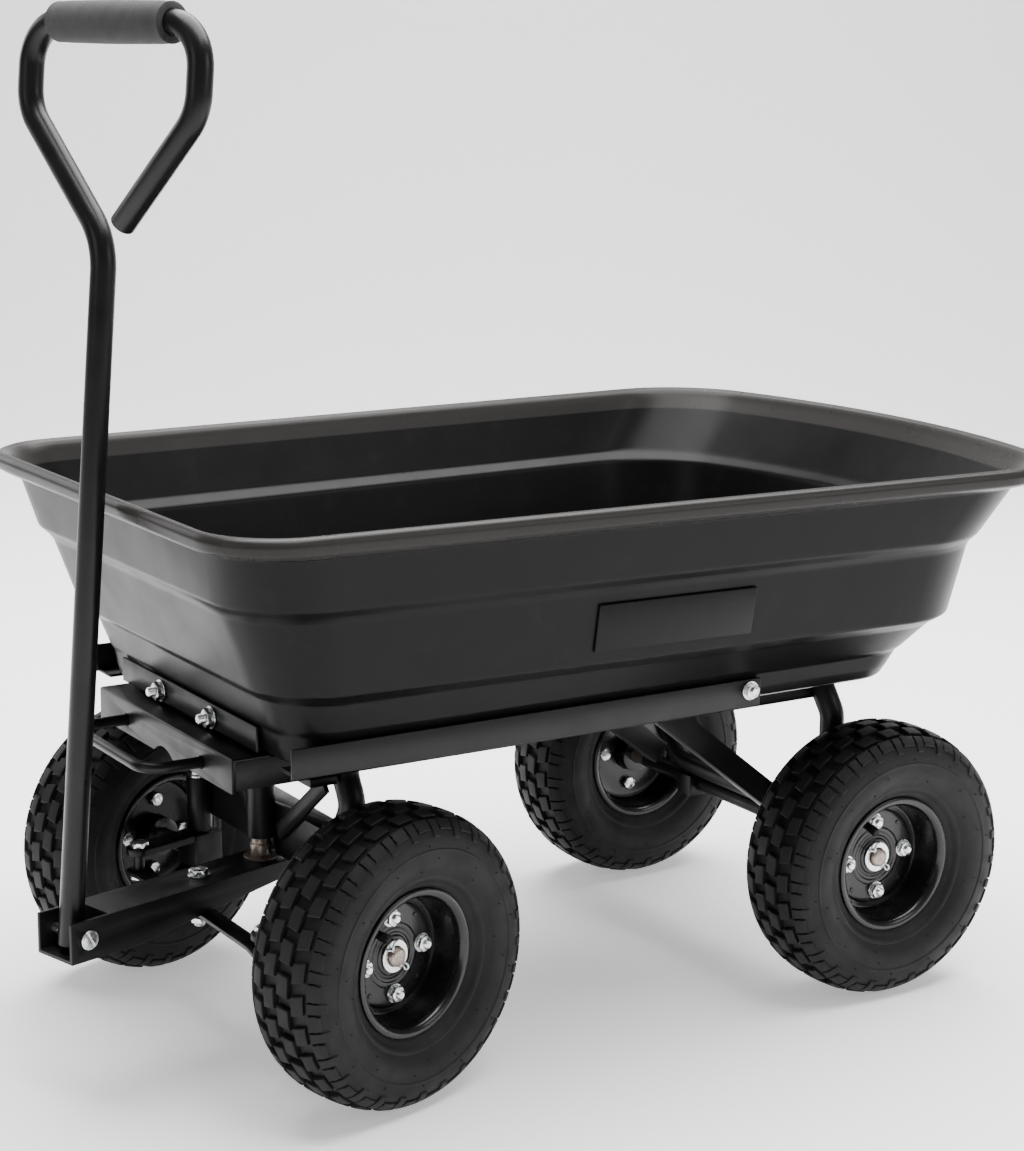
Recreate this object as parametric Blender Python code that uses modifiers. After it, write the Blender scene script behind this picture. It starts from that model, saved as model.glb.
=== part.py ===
"""Garden cart: a four-wheel dump cart with a moulded tub, a steel chassis and a pull handle.

Metres, +Z up, ground at z = 0. +X is across the cart, the handle end faces -Y and the
tub tips towards +Y. The front wheels and the tongue stand turned by STEER at rest.
"""
import math

import bmesh
import bpy
from mathutils import Matrix, Vector

# ---------------------------------------------------------------- driving dimensions
Y0 = 0.0180               # shift that puts the origin under the middle of the whole cart
STEER = math.radians(15)  # steering angle the cart stands at
LEAN = math.radians(5.2)  # rearward lean of the pull handle

TYRE_R, TYRE_HW = 0.130, 0.045
WHEEL_X = 0.205           # wheel mid-plane of the rear wheels
KING_X, SPINDLE = 0.130, 0.075
FRONT_Y, REAR_Y = -0.272, 0.272
AXLE_R = 0.0083

RAIL_X, RAIL_W = 0.120, 0.025     # chassis side rails
RAIL_Z0, RAIL_Z1 = 0.2705, 0.2962
PIVOT_Y, PIVOT_Z = 0.262, 0.2833  # tipping hinge of the tub

BRACKET_Y, BRACKET_Z = -0.366, 0.300   # front latch bracket: face and top
BRACKET_HX = 0.138
ROD_X, ROD_Z, ROD_R = 0.078, 0.2830, 0.005

TONGUE_TOP, TONGUE_HW = 0.1605, 0.0235
TONGUE_REAR, TONGUE_SLOT, TONGUE_END = 0.036, 0.186, 0.230
HANDLE_R_AT, HANDLE_Z = 0.213, 0.1440  # hinge of the handle: distance from the king pin, height
LINK_R = 0.073                         # steering arm length, the same on tongue and knuckles

TUBE_R = 0.0107   # pull handle tube
HOOP_R = 0.0118   # chassis hoops

GAP = 0.0003

# Tub outline at each height: z, half width front, half width rear, front y, rear y,
# front corner radius, rear corner radius, rear bow.
TUB_OUTER = (
    (0.3000, 0.1890, 0.1900, -0.3300, 0.3180, 0.0360, 0.050, 0.010),
    (0.3030, 0.1955, 0.1965, -0.3350, 0.3206, 0.0403, 0.055, 0.012),
    (0.3120, 0.1995, 0.2005, -0.3372, 0.3283, 0.0433, 0.058, 0.014),
    (0.3255, 0.2018, 0.2028, -0.3398, 0.3399, 0.0467, 0.060, 0.016),
    (0.3310, 0.2060, 0.2110, -0.3430, 0.3447, 0.0493, 0.064, 0.018),
    (0.3570, 0.2155, 0.2370, -0.3530, 0.3670, 0.0571, 0.080, 0.022),
    (0.3615, 0.2205, 0.2460, -0.3580, 0.3715, 0.0596, 0.086, 0.024),
    (0.3676, 0.2293, 0.2560, -0.3664, 0.3793, 0.0623, 0.092, 0.026),
    (0.4320, 0.2415, 0.2680, -0.3900, 0.4000, 0.0730, 0.101, 0.034),
    (0.4375, 0.2450, 0.2715, -0.3940, 0.4035, 0.0740, 0.104, 0.035),
    (0.4447, 0.2518, 0.2785, -0.4012, 0.4099, 0.0760, 0.107, 0.036),
    (0.4900, 0.2620, 0.2880, -0.4130, 0.4410, 0.0740, 0.106, 0.033),
    (0.4925, 0.2700, 0.2980, -0.4230, 0.4560, 0.0710, 0.105, 0.032),
    (0.4965, 0.2760, 0.3045, -0.4285, 0.4625, 0.0700, 0.105, 0.032),
    (0.5045, 0.2778, 0.3065, -0.4300, 0.4642, 0.0700, 0.105, 0.032),
    (0.5090, 0.2755, 0.3040, -0.4278, 0.4617, 0.0690, 0.104, 0.032),
    (0.5110, 0.2710, 0.2995, -0.4240, 0.4575, 0.0680, 0.103, 0.032),
)
TUB_INNER = (
    (0.5085, 0.2660, 0.2940, -0.4190, 0.4522, 0.0670, 0.101, 0.032),
    (0.5020, 0.2625, 0.2905, -0.4150, 0.4480, 0.0660, 0.100, 0.032),
    (0.4480, 0.2475, 0.2740, -0.3965, 0.4055, 0.0730, 0.103, 0.035),
    (0.4400, 0.2375, 0.2640, -0.3865, 0.3960, 0.0700, 0.100, 0.033),
    (0.3705, 0.2250, 0.2515, -0.3620, 0.3745, 0.0586, 0.088, 0.025),
    (0.3630, 0.2150, 0.2400, -0.3525, 0.3655, 0.0548, 0.082, 0.023),
    (0.3300, 0.2015, 0.2060, -0.3380, 0.3392, 0.0442, 0.060, 0.016),
    (0.3080, 0.1905, 0.1915, -0.3300, 0.3195, 0.0349, 0.050, 0.012),
    (0.3045, 0.1810, 0.1820, -0.3210, 0.3110, 0.0285, 0.042, 0.010),
)

# ---------------------------------------------------------------- scene and helpers
for old in list(bpy.data.objects):
    bpy.data.objects.remove(old, do_unlink=True)

PARTS = bpy.data.collections.new("garden_cart")
CUTTERS = bpy.data.collections.new("cutters")
bpy.context.scene.collection.children.link(PARTS)
bpy.context.scene.collection.children.link(CUTTERS)


def material(name, color, roughness, metallic=0.0):
    mat = bpy.data.materials.new(name)
    mat.use_nodes = True
    bsdf = mat.node_tree.nodes["Principled BSDF"]
    bsdf.inputs["Base Color"].default_value = (*color, 1.0)
    bsdf.inputs["Roughness"].default_value = roughness
    bsdf.inputs["Metallic"].default_value = metallic
    return mat


POLY = material("black_poly", (0.018, 0.018, 0.019), 0.48)
PANEL = material("panel_poly", (0.014, 0.014, 0.015), 0.40)
COAT = material("black_powder_coat", (0.012, 0.012, 0.013), 0.36)
GLOSS = material("black_rim_enamel", (0.008, 0.008, 0.009), 0.24)
ZINC = material("zinc_plate", (0.62, 0.63, 0.64), 0.30, 1.0)
STEEL = material("plain_steel", (0.42, 0.39, 0.36), 0.40, 1.0)
TYRE = material("tyre_rubber", (0.022, 0.022, 0.022), 0.72)
FOAM = material("grip_foam", (0.035, 0.035, 0.037), 0.85)


def body(name, parent, loc, rx=0.0, rz=0.0):
    """An empty on a joint axis; its pieces are placed in its own frame."""
    empty = bpy.data.objects.new(name, None)
    empty.location = loc
    empty.rotation_euler = (rx, 0.0, rz)
    empty.parent = parent
    empty.empty_display_size = 0.03
    PARTS.objects.link(empty)
    return empty


def place(name, data, parent, mat, loc=(0, 0, 0), rot=None, cutter=False):
    obj = bpy.data.objects.new(name, data)
    obj.location = loc
    if rot is not None:
        obj.rotation_mode = "QUATERNION"
        obj.rotation_quaternion = rot
    obj.parent = parent
    (CUTTERS if cutter else PARTS).objects.link(obj)
    if cutter:
        obj.hide_render = True
        obj.display_type = "WIRE"
    elif mat is not None:
        data.materials.append(mat)
    return obj


def mesh_of(bm, name, smooth=None):
    data = bpy.data.meshes.new(name)
    bm.to_mesh(data)
    bm.free()
    if smooth is not None:
        data.shade_smooth()
        data.set_sharp_from_angle(angle=math.radians(smooth))
    return data


def box(name, lo, hi, parent, mat=None, rot=None, cutter=False):
    lo, hi = Vector(lo), Vector(hi)
    bm = bmesh.new()
    bmesh.ops.create_cube(bm, size=1.0)
    bmesh.ops.scale(bm, vec=hi - lo, verts=bm.verts)
    return place(name, mesh_of(bm, name), parent, mat, (lo + hi) / 2, rot, cutter)


def rod(name, start, end, radius, parent, mat=None, seg=20, cutter=False, radius2=None):
    start, end = Vector(start), Vector(end)
    bm = bmesh.new()
    bmesh.ops.create_cone(
        bm, cap_ends=True, segments=seg, radius1=radius,
        radius2=radius if radius2 is None else radius2, depth=(end - start).length)
    turn = Vector((0, 0, 1)).rotation_difference(end - start)
    return place(name, mesh_of(bm, name, 40), parent, mat, (start + end) / 2, turn, cutter)


def turned(name, profile, axis, parent, mat=None, seg=32, loc=(0, 0, 0), cutter=False):
    """A closed or axis-to-axis profile of (radius, height) points screwed round its axis."""
    area = sum(a[0] * b[1] - b[0] * a[1] for a, b in zip(profile, profile[1:] + profile[:1]))
    points = list(profile) if area < 0 else list(profile)[::-1]
    on_axis = [i for i, p in enumerate(points) if p[0] < 1e-6]
    closed = not on_axis
    if on_axis:   # start and end the open profile on the axis
        while not (points[0][0] < 1e-6 and points[-1][0] < 1e-6):
            points = points[1:] + points[:1]
    bm = bmesh.new()
    verts = [bm.verts.new((r, 0.0, z)) for r, z in points]
    for a, b in zip(verts, verts[1:] + (verts[:1] if closed else [])):
        bm.edges.new((a, b))
    data = mesh_of(bm, name)
    turn = Vector((0, 0, 1)).rotation_difference(Vector(axis))
    obj = place(name, data, parent, mat, loc, turn, cutter)
    screw = obj.modifiers.new("turn", "SCREW")
    screw.steps = screw.render_steps = seg
    screw.use_merge_vertices = True
    screw.merge_threshold = 0.00005
    screw.use_smooth_shade = True
    return obj


def bent(points, radii, steps=4):
    """A polyline whose corners are rounded to the given radii."""
    points = [Vector(p) for p in points]
    out = [points[0]]
    for before, corner, after, radius in zip(points, points[1:], points[2:], radii):
        u, v = (before - corner).normalized(), (after - corner).normalized()
        half = u.angle(v) / 2
        if radius <= 0 or half > math.pi / 2 - 0.01:
            out.append(corner)
            continue
        reach = radius / math.tan(half)
        centre = corner + (u + v).normalized() * (radius / math.sin(half))
        a, b = corner + u * reach - centre, corner + v * reach - centre
        turn = a.rotation_difference(b)
        for i in range(steps + 1):
            step = a.copy()
            step.rotate(turn.__class__((1, 0, 0, 0)).slerp(turn, i / steps))
            out.append(centre + step)
    out.append(points[-1])
    return out


def tube(name, points, radius, parent, mat, resolution=4):
    curve = bpy.data.curves.new(name, "CURVE")
    curve.dimensions = "3D"
    curve.bevel_depth = radius
    curve.bevel_resolution = resolution
    curve.use_fill_caps = True
    curve.twist_mode = "MINIMUM"
    spline = curve.splines.new("POLY")
    spline.points.add(len(points) - 1)
    for point, place_at in zip(spline.points, points):
        point.co = (*place_at, 1.0)
    spline.use_smooth = True
    return place(name, curve, parent, mat)


def boolean(node, operation, other):
    mod = node.modifiers.new(operation.lower(), "BOOLEAN")
    mod.operation = operation
    mod.solver = "EXACT"
    mod.object = other


def cut(node, *others):
    for other in others:
        boolean(node, "DIFFERENCE", other)


def join(node, *others):
    for other in others:
        boolean(node, "UNION", other)


# ---------------------------------------------------------------- bodies
chassis = body("chassis", None, (0, Y0, 0))
tub = body("tub_body", chassis, (0, PIVOT_Y, PIVOT_Z))
release = body("release_body", chassis, (0, BRACKET_Y, ROD_Z))
tongue = body("tongue_body", chassis, (0, FRONT_Y, 0), rz=STEER)
handle = body("handle_body", tongue, (0, -HANDLE_R_AT, HANDLE_Z), rx=-LEAN)

# ---------------------------------------------------------------- chassis
SIDES = (("left", -1), ("right", 1))

for side, s in SIDES:
    rail = box("frame_rail_" + side,
               (s * RAIL_X - RAIL_W / 2, -0.3620, RAIL_Z0),
               (s * RAIL_X + RAIL_W / 2, PIVOT_Y + 0.0080, RAIL_Z1), chassis, COAT)
    bore = rod("bore_rail_" + side, (s * RAIL_X - 0.03, PIVOT_Y, PIVOT_Z),
               (s * RAIL_X + 0.03, PIVOT_Y, PIVOT_Z), 0.0058, chassis, cutter=True)
    cut(rail, bore)
    # steel angle strut from the rail down to the rear axle
    strut_dir = Vector((0, 0.163, -0.128)).normalized()
    mid = Vector((s * 0.099, 0.166, 0.2155))
    strut = box("rear_strut_" + side, mid - Vector((0.009, 0.0885, 0.0115)),
                mid + Vector((0.009, 0.0885, 0.0115)), chassis, COAT,
                rot=Vector((0, 1, 0)).rotation_difference(strut_dir))
    trim_top = box("trim_strut_top_" + side, (s * 0.099 - 0.02, 0.05, RAIL_Z0 - GAP),
                   (s * 0.099 + 0.02, 0.16, 0.33), chassis, cutter=True)
    trim_end = box("trim_strut_end_" + side, (s * 0.099 - 0.02, 0.2440, 0.10),
                   (s * 0.099 + 0.02, 0.33, 0.21), chassis, cutter=True)
    cut(strut, trim_top, trim_end)
    # saddle that carries the rear axle under the hoop
    saddle = box("axle_saddle_" + side, (s * 0.078 - 0.011, 0.2560, 0.1175),
                 (s * 0.078 + 0.011, 0.2880, 0.1384), chassis, COAT)
    cut(saddle, rod("bore_saddle_" + side, (s * 0.078 - 0.03, REAR_Y, TYRE_R),
                    (s * 0.078 + 0.03, REAR_Y, TYRE_R), AXLE_R + 0.0005, chassis, cutter=True))
    # curved front leg and flat brace
    top, foot = RAIL_Z0 - GAP, 0.2123
    bow = [(s * (0.1200 + 0.0115 * math.sin(math.pi * i / 10) ** 2), -0.2500,
            top - 0.0015 - (top - foot - 0.0030) * i / 10) for i in range(11)]
    tube("front_leg_" + side,
         [(s * 0.1200, -0.2500, top)] + bow + [(s * 0.1200, -0.2500, foot)],
         HOOP_R, chassis, COAT, 3)
    brace_dir = Vector((s * 0.088, 0, 0.068))
    half = brace_dir.length / 2
    brace_mid = Vector((s * 0.0665, -0.2645, 0.2225))
    brace = box("front_brace_" + side, brace_mid - Vector((half, 0.0022, 0.0075)),
                brace_mid + Vector((half, 0.0022, 0.0075)), chassis, COAT,
                rot=Vector((s, 0, 0)).rotation_difference(brace_dir))
    cut(brace, box("trim_brace_" + side, (s * 0.08 - 0.06, -0.28, 0.2615),
                   (s * 0.08 + 0.06, -0.25, 0.30), chassis, cutter=True))

box("rear_cross_member", (-(RAIL_X - RAIL_W / 2 - GAP), 0.060, RAIL_Z0),
    (RAIL_X - RAIL_W / 2 - GAP, 0.085, RAIL_Z1), chassis, COAT)

# plate across under the rails with the king pin sleeve
king = box("king_plate", (-0.1320, -0.2900, 0.2625), (0.1320, -0.2640, RAIL_Z0 - GAP - 0.0005),
           chassis, COAT)
join(king, rod("king_sleeve", (0, FRONT_Y, 0.1808), (0, FRONT_Y, 0.2660), 0.0130, chassis,
               seg=24, cutter=True))

# front axle: a channel with the two king pin sleeves of the knuckles
axle = box("front_axle_beam", (-0.1250, -0.2620, 0.1650), (0.1250, -0.2380, 0.2120), chassis, COAT)
cut(axle, box("axle_channel", (-0.1150, -0.2580, 0.1690), (0.1150, -0.2300, 0.2080), chassis,
              cutter=True))
for side, s in SIDES:
    join(axle, rod("sleeve_" + side, (s * KING_X, FRONT_Y, 0.1500), (s * KING_X, FRONT_Y, 0.2030),
                   0.0120, chassis, seg=18, cutter=True))
join(axle, box("king_web", (-0.012, -0.2600, 0.1850), (0.012, -0.2400, 0.2000), chassis,
               cutter=True))
for side, s in SIDES:
    cut(axle, rod("sleeve_bore_" + side, (s * KING_X, FRONT_Y, 0.14), (s * KING_X, FRONT_Y, 0.22),
                  0.0062, chassis, seg=12, cutter=True))
cut(axle, rod("king_clear", (0, FRONT_Y, 0.15), (0, FRONT_Y, 0.23), 0.0134, chassis, seg=24,
              cutter=True))

# rear hoop, rear axle and the hinge pin of the tub
tube("rear_hoop",
     bent([(-0.1450, 0.2660, 0.2835), (-0.1450, 0.2660, 0.2000), (-0.1000, 0.2660, 0.1505),
           (0.1000, 0.2660, 0.1505), (0.1450, 0.2660, 0.2000), (0.1450, 0.2660, 0.2835)],
          (0.045, 0.045, 0.045, 0.045), 4), HOOP_R, chassis, COAT, 3)
rod("rear_axle", (-WHEEL_X - 0.0125, REAR_Y, TYRE_R), (WHEEL_X + 0.0125, REAR_Y, TYRE_R), AXLE_R,
    chassis, STEEL, seg=24)
rod("tip_pin", (-0.1318, PIVOT_Y, PIVOT_Z), (0.1318, PIVOT_Y, PIVOT_Z), 0.0050, chassis, ZINC)

# front latch bracket: top flange, front flange with an arched lower edge, two end cheeks
bracket = box("latch_bracket", (-BRACKET_HX, BRACKET_Y, 0.2965), (BRACKET_HX, -0.3300, BRACKET_Z),
              chassis, COAT)
edge = bracket.modifiers.new("fold", "BEVEL")
edge.width = 0.0010
edge.segments = 1
join(bracket, box("bracket_front", (-BRACKET_HX, BRACKET_Y, 0.2700),
                  (BRACKET_HX, BRACKET_Y + 0.0036, 0.2985), chassis, cutter=True))
cut(bracket, rod("bracket_arch", (0, -0.40, 0.2470), (0, -0.35, 0.2470), 0.0300, chassis, seg=40,
                 cutter=True))
for side, s in SIDES:
    cut(bracket, rod("rod_hole_" + side, (s * ROD_X, -0.40, ROD_Z), (s * ROD_X, -0.355, ROD_Z),
                     ROD_R + 0.0009, chassis, seg=20, cutter=True))

# ---------------------------------------------------------------- release handle
tube("release_handle",
     bent([(-ROD_X, 0.0470, 0), (-ROD_X, -0.0510, 0), (ROD_X, -0.0510, 0), (ROD_X, 0.0470, 0)],
          (0.022, 0.022), 5), ROD_R, release, COAT, 3)


# ---------------------------------------------------------------- tub and what is fixed to it
def outline(z, wf, wr, yf, yr, cf, cr, bow):
    """Half of the outline from front centre to rear centre, mirrored to the other side."""
    right = [((wf - cf) * i / 3, yf) for i in range(3)]
    right += [(wf - cf + cf * math.sin(a), yf + cf - cf * math.cos(a))
              for a in (math.pi / 2 * i / 4 for i in range(5))]
    lean = 0.0       # the corner arc ends where its tangent meets the bowed rear edge
    for _ in range(6):
        flat = wr - cr * (1 - math.sin(lean))
        lean = math.atan(2 * bow / flat)
    start, end = yf + cf, yr - bow - cr * math.cos(lean)
    right += [(wf + (wr - wf) * i / 5, start + (end - start) * i / 5) for i in range(1, 5)]
    right += [(wr - cr + cr * math.cos(a), end + cr * math.sin(a))
              for a in ((math.pi / 2 - lean) * i / 4 for i in range(5))]
    right += [(flat * (1 - i / 4), yr - bow * (1 - i / 4) ** 2) for i in range(1, 5)]
    left = [(-x, y) for x, y in right[-2:0:-1]]
    return [Vector((x, y, z)) for x, y in right + left]


def tub_side(y, z):
    """Outer half width of the tub at y and z."""
    for low, high in zip(TUB_OUTER, TUB_OUTER[1:]):
        if low[0] <= z <= high[0]:
            t = (z - low[0]) / (high[0] - low[0])
            wf, wr, yf, yr, cf, cr, bow = (a + (b - a) * t for a, b in zip(low[1:], high[1:]))
            along = (y - yf - cf) / (yr - bow - cr - yf - cf)
            return wf + (wr - wf) * along


bm = bmesh.new()
offset = Vector((0, -PIVOT_Y, -PIVOT_Z))
rings = [[bm.verts.new(p + offset) for p in outline(*level)] for level in TUB_OUTER + TUB_INNER]
for lower, upper in zip(rings, rings[1:]):
    for i in range(len(lower)):
        j = (i + 1) % len(lower)
        bm.faces.new((lower[i], lower[j], upper[j], upper[i]))
bm.faces.new(rings[0][::-1])
bm.faces.new(rings[-1])
bmesh.ops.recalc_face_normals(bm, faces=bm.faces)
bmesh.ops.triangulate(bm, faces=[f for f in bm.faces if len(f.verts) > 4])
place("tub_shell", mesh_of(bm, "tub_shell", 35), tub, POLY)


def tub_box(name, lo, hi, mat=None, cutter=False):
    return box(name, Vector(lo) + offset, Vector(hi) + offset, tub, mat, cutter=cutter)


for side, s in SIDES:
    # steel angle along the foot of the tub
    bed_rail = tub_box("bed_rail_" + side,
                       (min(s * 0.2035, s * 0.2065), -0.3450, 0.2967),
                       (max(s * 0.2035, s * 0.2065), 0.1300, 0.3225), COAT)
    join(bed_rail, tub_box("bed_rail_flange_" + side,
                           (min(s * 0.1750, s * 0.2050), -0.3400, 0.2967),
                           (max(s * 0.1750, s * 0.2050), 0.1300, 0.2996), cutter=True))
    rod("rail_bolt_" + side, Vector((s * 0.2068, 0.1180, 0.3120)) + offset,
        Vector((s * 0.2150, 0.1180, 0.3120)) + offset, 0.0085, tub, ZINC, seg=12,
        radius2=0.0070)
    # hinge lug on the underside, inside the chassis rail
    lug = tub_box("hinge_lug_" + side, (s * 0.1010 - 0.0025, 0.2420, 0.2735),
                  (s * 0.1010 + 0.0025, 0.2740, 0.2997), COAT)
    cut(lug, rod("lug_bore_" + side, (s * 0.1010 - 0.01, 0, 0), (s * 0.1010 + 0.01, 0, 0), 0.0058,
                 tub, cutter=True))
    # raised name panel, left blank, following the draft of the wall
    y, z, hy, hz = 0.0015, 0.4005, 0.0800, 0.0222
    x = tub_side(y, z)
    draft = math.atan2(tub_side(y, z + hz) - tub_side(y, z - hz), 2 * hz)
    flare = math.atan2(tub_side(y + hy, z) - tub_side(y - hy, z), 2 * hy)
    turn = Matrix.Rotation(-s * flare, 3, "Z") @ Matrix.Rotation(s * draft, 3, "Y")
    centre = Vector((s * (x + 0.0016), y, z)) + offset
    panel = box("name_panel_" + side, centre - Vector((0.0012, hy, hz)),
                centre + Vector((0.0012, hy, hz)), tub, PANEL, rot=turn.to_quaternion())
    rounding = panel.modifiers.new("edge", "BEVEL")
    rounding.width = 0.0008
    rounding.segments = 1
    # bolts of the strike plate
    rod("strike_bolt_" + side, Vector((s * 0.0520, -0.3436, 0.3130)) + offset,
        Vector((s * 0.0520, -0.3570, 0.3130)) + offset, 0.0090, tub, ZINC, seg=12, radius2=0.0062)

tub_box("strike_plate", (-0.1380, -0.3433, 0.3030), (0.1380, -0.3403, 0.3250), COAT)
# latch catch under the tub: two notches open downwards that sit over the latch rods
catch = tub_box("latch_catch", (-0.0950, -0.3275, 0.2730), (0.0950, -0.3240, 0.2996), COAT)
for side, s in SIDES:
    cut(catch, tub_box("catch_notch_" + side, (s * ROD_X - 0.0062, -0.34, 0.26),
                       (s * ROD_X + 0.0062, -0.31, ROD_Z + 0.0062), cutter=True))

# ---------------------------------------------------------------- tongue
beam = box("tongue_beam", (-TONGUE_HW, -TONGUE_END, 0.1250), (TONGUE_HW, TONGUE_REAR, TONGUE_TOP),
           tongue, COAT)
WALL = 0.0032
cut(beam,
    box("tongue_hollow", (-TONGUE_HW + WALL, -TONGUE_SLOT, 0.1200),
        (TONGUE_HW - WALL, TONGUE_REAR + 0.02, TONGUE_TOP - WALL), tongue, cutter=True),
    box("tongue_slot", (-TONGUE_HW + WALL, -TONGUE_END - 0.01, 0.1250 + WALL),
        (TONGUE_HW - WALL, -TONGUE_SLOT - WALL, 0.1800), tongue, cutter=True),
    box("tongue_taper", (-0.04, -0.20, -0.04), (0.04, 0.20, 0.0), tongue,
        rot=Matrix.Rotation(math.radians(6.9), 3, "X").to_quaternion(), cutter=True))
taper = bpy.data.objects["tongue_taper"]
taper.location = (0, -0.060, 0.1170)
hinge_bore = rod("tongue_hinge_bore", (-0.04, -HANDLE_R_AT, HANDLE_Z), (0.04, -HANDLE_R_AT, HANDLE_Z),
                 0.0049, tongue, cutter=True)
king_bore = rod("tongue_king_bore", (0, 0, 0.10), (0, 0, 0.18), 0.0066, tongue, cutter=True)
link_bore = rod("tongue_link_bore", (0, -LINK_R, 0.10), (0, -LINK_R, 0.18), 0.0056, tongue,
                cutter=True)
cut(beam, hinge_bore, king_bore, link_bore)

turned("king_bolt",
       [(0, 0.1795), (0.0095, 0.1795), (0.0095, 0.1640), (0.0155, 0.1640), (0.0155, 0.1608),
        (0.0060, 0.1608), (0.0060, 0.1568), (0.0105, 0.1568), (0.0105, 0.1470), (0.0060, 0.1470),
        (0.0060, 0.1400), (0, 0.1400)], (0, 0, 1), tongue, STEEL, seg=14)
turned("link_bolt",
       [(0, 0.1670), (0.0085, 0.1670), (0.0085, 0.1608), (0.0050, 0.1608), (0.0050, 0.1290),
        (0.0050, 0.1228), (0.0085, 0.1228), (0.0085, 0.1178), (0, 0.1178)], (0, 0, 1), tongue,
       ZINC, seg=12).location = (0, -LINK_R, 0)
pin = rod("handle_bolt", (-TONGUE_HW - 0.0042, -HANDLE_R_AT, HANDLE_Z),
          (TONGUE_HW + 0.0025, -HANDLE_R_AT, HANDLE_Z), 0.0046, tongue, ZINC, seg=16)
join(pin, rod("handle_bolt_head", (TONGUE_HW + 0.0003, -HANDLE_R_AT, HANDLE_Z),
              (TONGUE_HW + 0.0045, -HANDLE_R_AT, HANDLE_Z), 0.0078, tongue, seg=16, cutter=True),
     rod("handle_bolt_nut", (-TONGUE_HW - 0.0055, -HANDLE_R_AT, HANDLE_Z),
         (-TONGUE_HW - 0.0003, -HANDLE_R_AT, HANDLE_Z), 0.0080, tongue, seg=6, cutter=True))

# ---------------------------------------------------------------- pull handle
loop = bent([(0, 0, -0.0105), (0, 0, 0.5800), (-0.1080, 0, 0.6840), (-0.1080, 0, 0.7540),
             (0.1080, 0, 0.7540), (0.1080, 0, 0.6840), (0.0215, 0, 0.5940)],
            (0.060, 0.042, 0.036, 0.036, 0.042), 5)
shaft = tube("handle_tube", loop, TUBE_R, handle, None, 3)
bpy.context.view_layer.update()
steel = bpy.data.meshes.new_from_object(shaft.evaluated_get(bpy.context.evaluated_depsgraph_get()))
bm = bmesh.new()
bm.from_mesh(steel)
bmesh.ops.remove_doubles(bm, verts=bm.verts, dist=0.00001)
bm.to_mesh(steel)
bm.free()
bpy.data.objects.remove(shaft, do_unlink=True)
steel.name = "handle_tube"
steel.materials.clear()
shaft = place("handle_tube", steel, handle, COAT)
cut(shaft, rod("handle_bore", (-0.03, 0, 0), (0.03, 0, 0), 0.0050, handle, cutter=True))
turned("handle_grip",
       [(TUBE_R + GAP, 0.0720), (0.0160, 0.0720), (0.0174, 0.0690), (0.0174, -0.0690),
        (0.0160, -0.0720), (TUBE_R + GAP, -0.0720)], (1, 0, 0), handle, FOAM, seg=24,
       loc=(0, 0, 0.7540))

# ---------------------------------------------------------------- wheels
TYRE_PROFILE = [
    (0.1300, 0.0100), (0.1262, 0.0290), (0.1120, 0.0432), (0.0950, 0.0450), (0.0770, 0.0395),
    (0.0652, 0.0282), (0.0608, 0.0278), (0.0608, 0.0235), (0.1000, 0.0370), (0.1215, 0.0)]
TYRE_LOOP = TYRE_PROFILE + [(r, -w) for r, w in TYRE_PROFILE[-2::-1]]
RIM_LOOP = [
    (0.0560, 0.0306), (0.0636, 0.0312), (0.0636, 0.0290), (0.0602, 0.0284), (0.0602, -0.0284),
    (0.0636, -0.0290), (0.0636, -0.0312), (0.0560, -0.0306), (0.0520, -0.0040),
    (0.0200, -0.0040), (0.0200, 0.0010), (0.0520, 0.0010)]
HUB_LOOP = [(0.0092, 0.0048), (0.0150, 0.0048), (0.0180, 0.0033), (0.0465, 0.0033),
            (0.0465, 0.0013), (0.0196, 0.0013), (0.0196, -0.0200), (0.0092, -0.0200)]


def wheel(tag, parent, s):
    """One wheel about the x axis of its body; s is the side its hub faces."""
    flip = [(r, w * s) for r, w in RIM_LOOP]
    turned("tyre_" + tag, TYRE_LOOP, (1, 0, 0), parent, TYRE, seg=26)
    turned("rim_" + tag, flip, (1, 0, 0), parent, GLOSS, seg=24)
    hub = turned("hub_" + tag, [(r, w * s) for r, w in HUB_LOOP], (1, 0, 0), parent, GLOSS, seg=20)
    for i in range(4):
        a = math.radians(4 + 90 * i)
        y, z = 0.0345 * math.sin(a), 0.0345 * math.cos(a)
        join(hub, rod("lug_%s_%d" % (tag, i), (s * 0.0028, y, z), (s * 0.0100, y, z), 0.0072,
                      parent, seg=6, cutter=True))
    turned("axle_washer_" + tag,
           [(0.0090, 0.0052 * s), (0.0144, 0.0052 * s), (0.0144, 0.0074 * s),
            (0.0090, 0.0074 * s)], (1, 0, 0), parent, ZINC, seg=14)


for side, s in SIDES:
    wheel("rear_" + side, body("wheel_rear_" + side, chassis, (s * WHEEL_X, REAR_Y, TYRE_R)), s)

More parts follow.
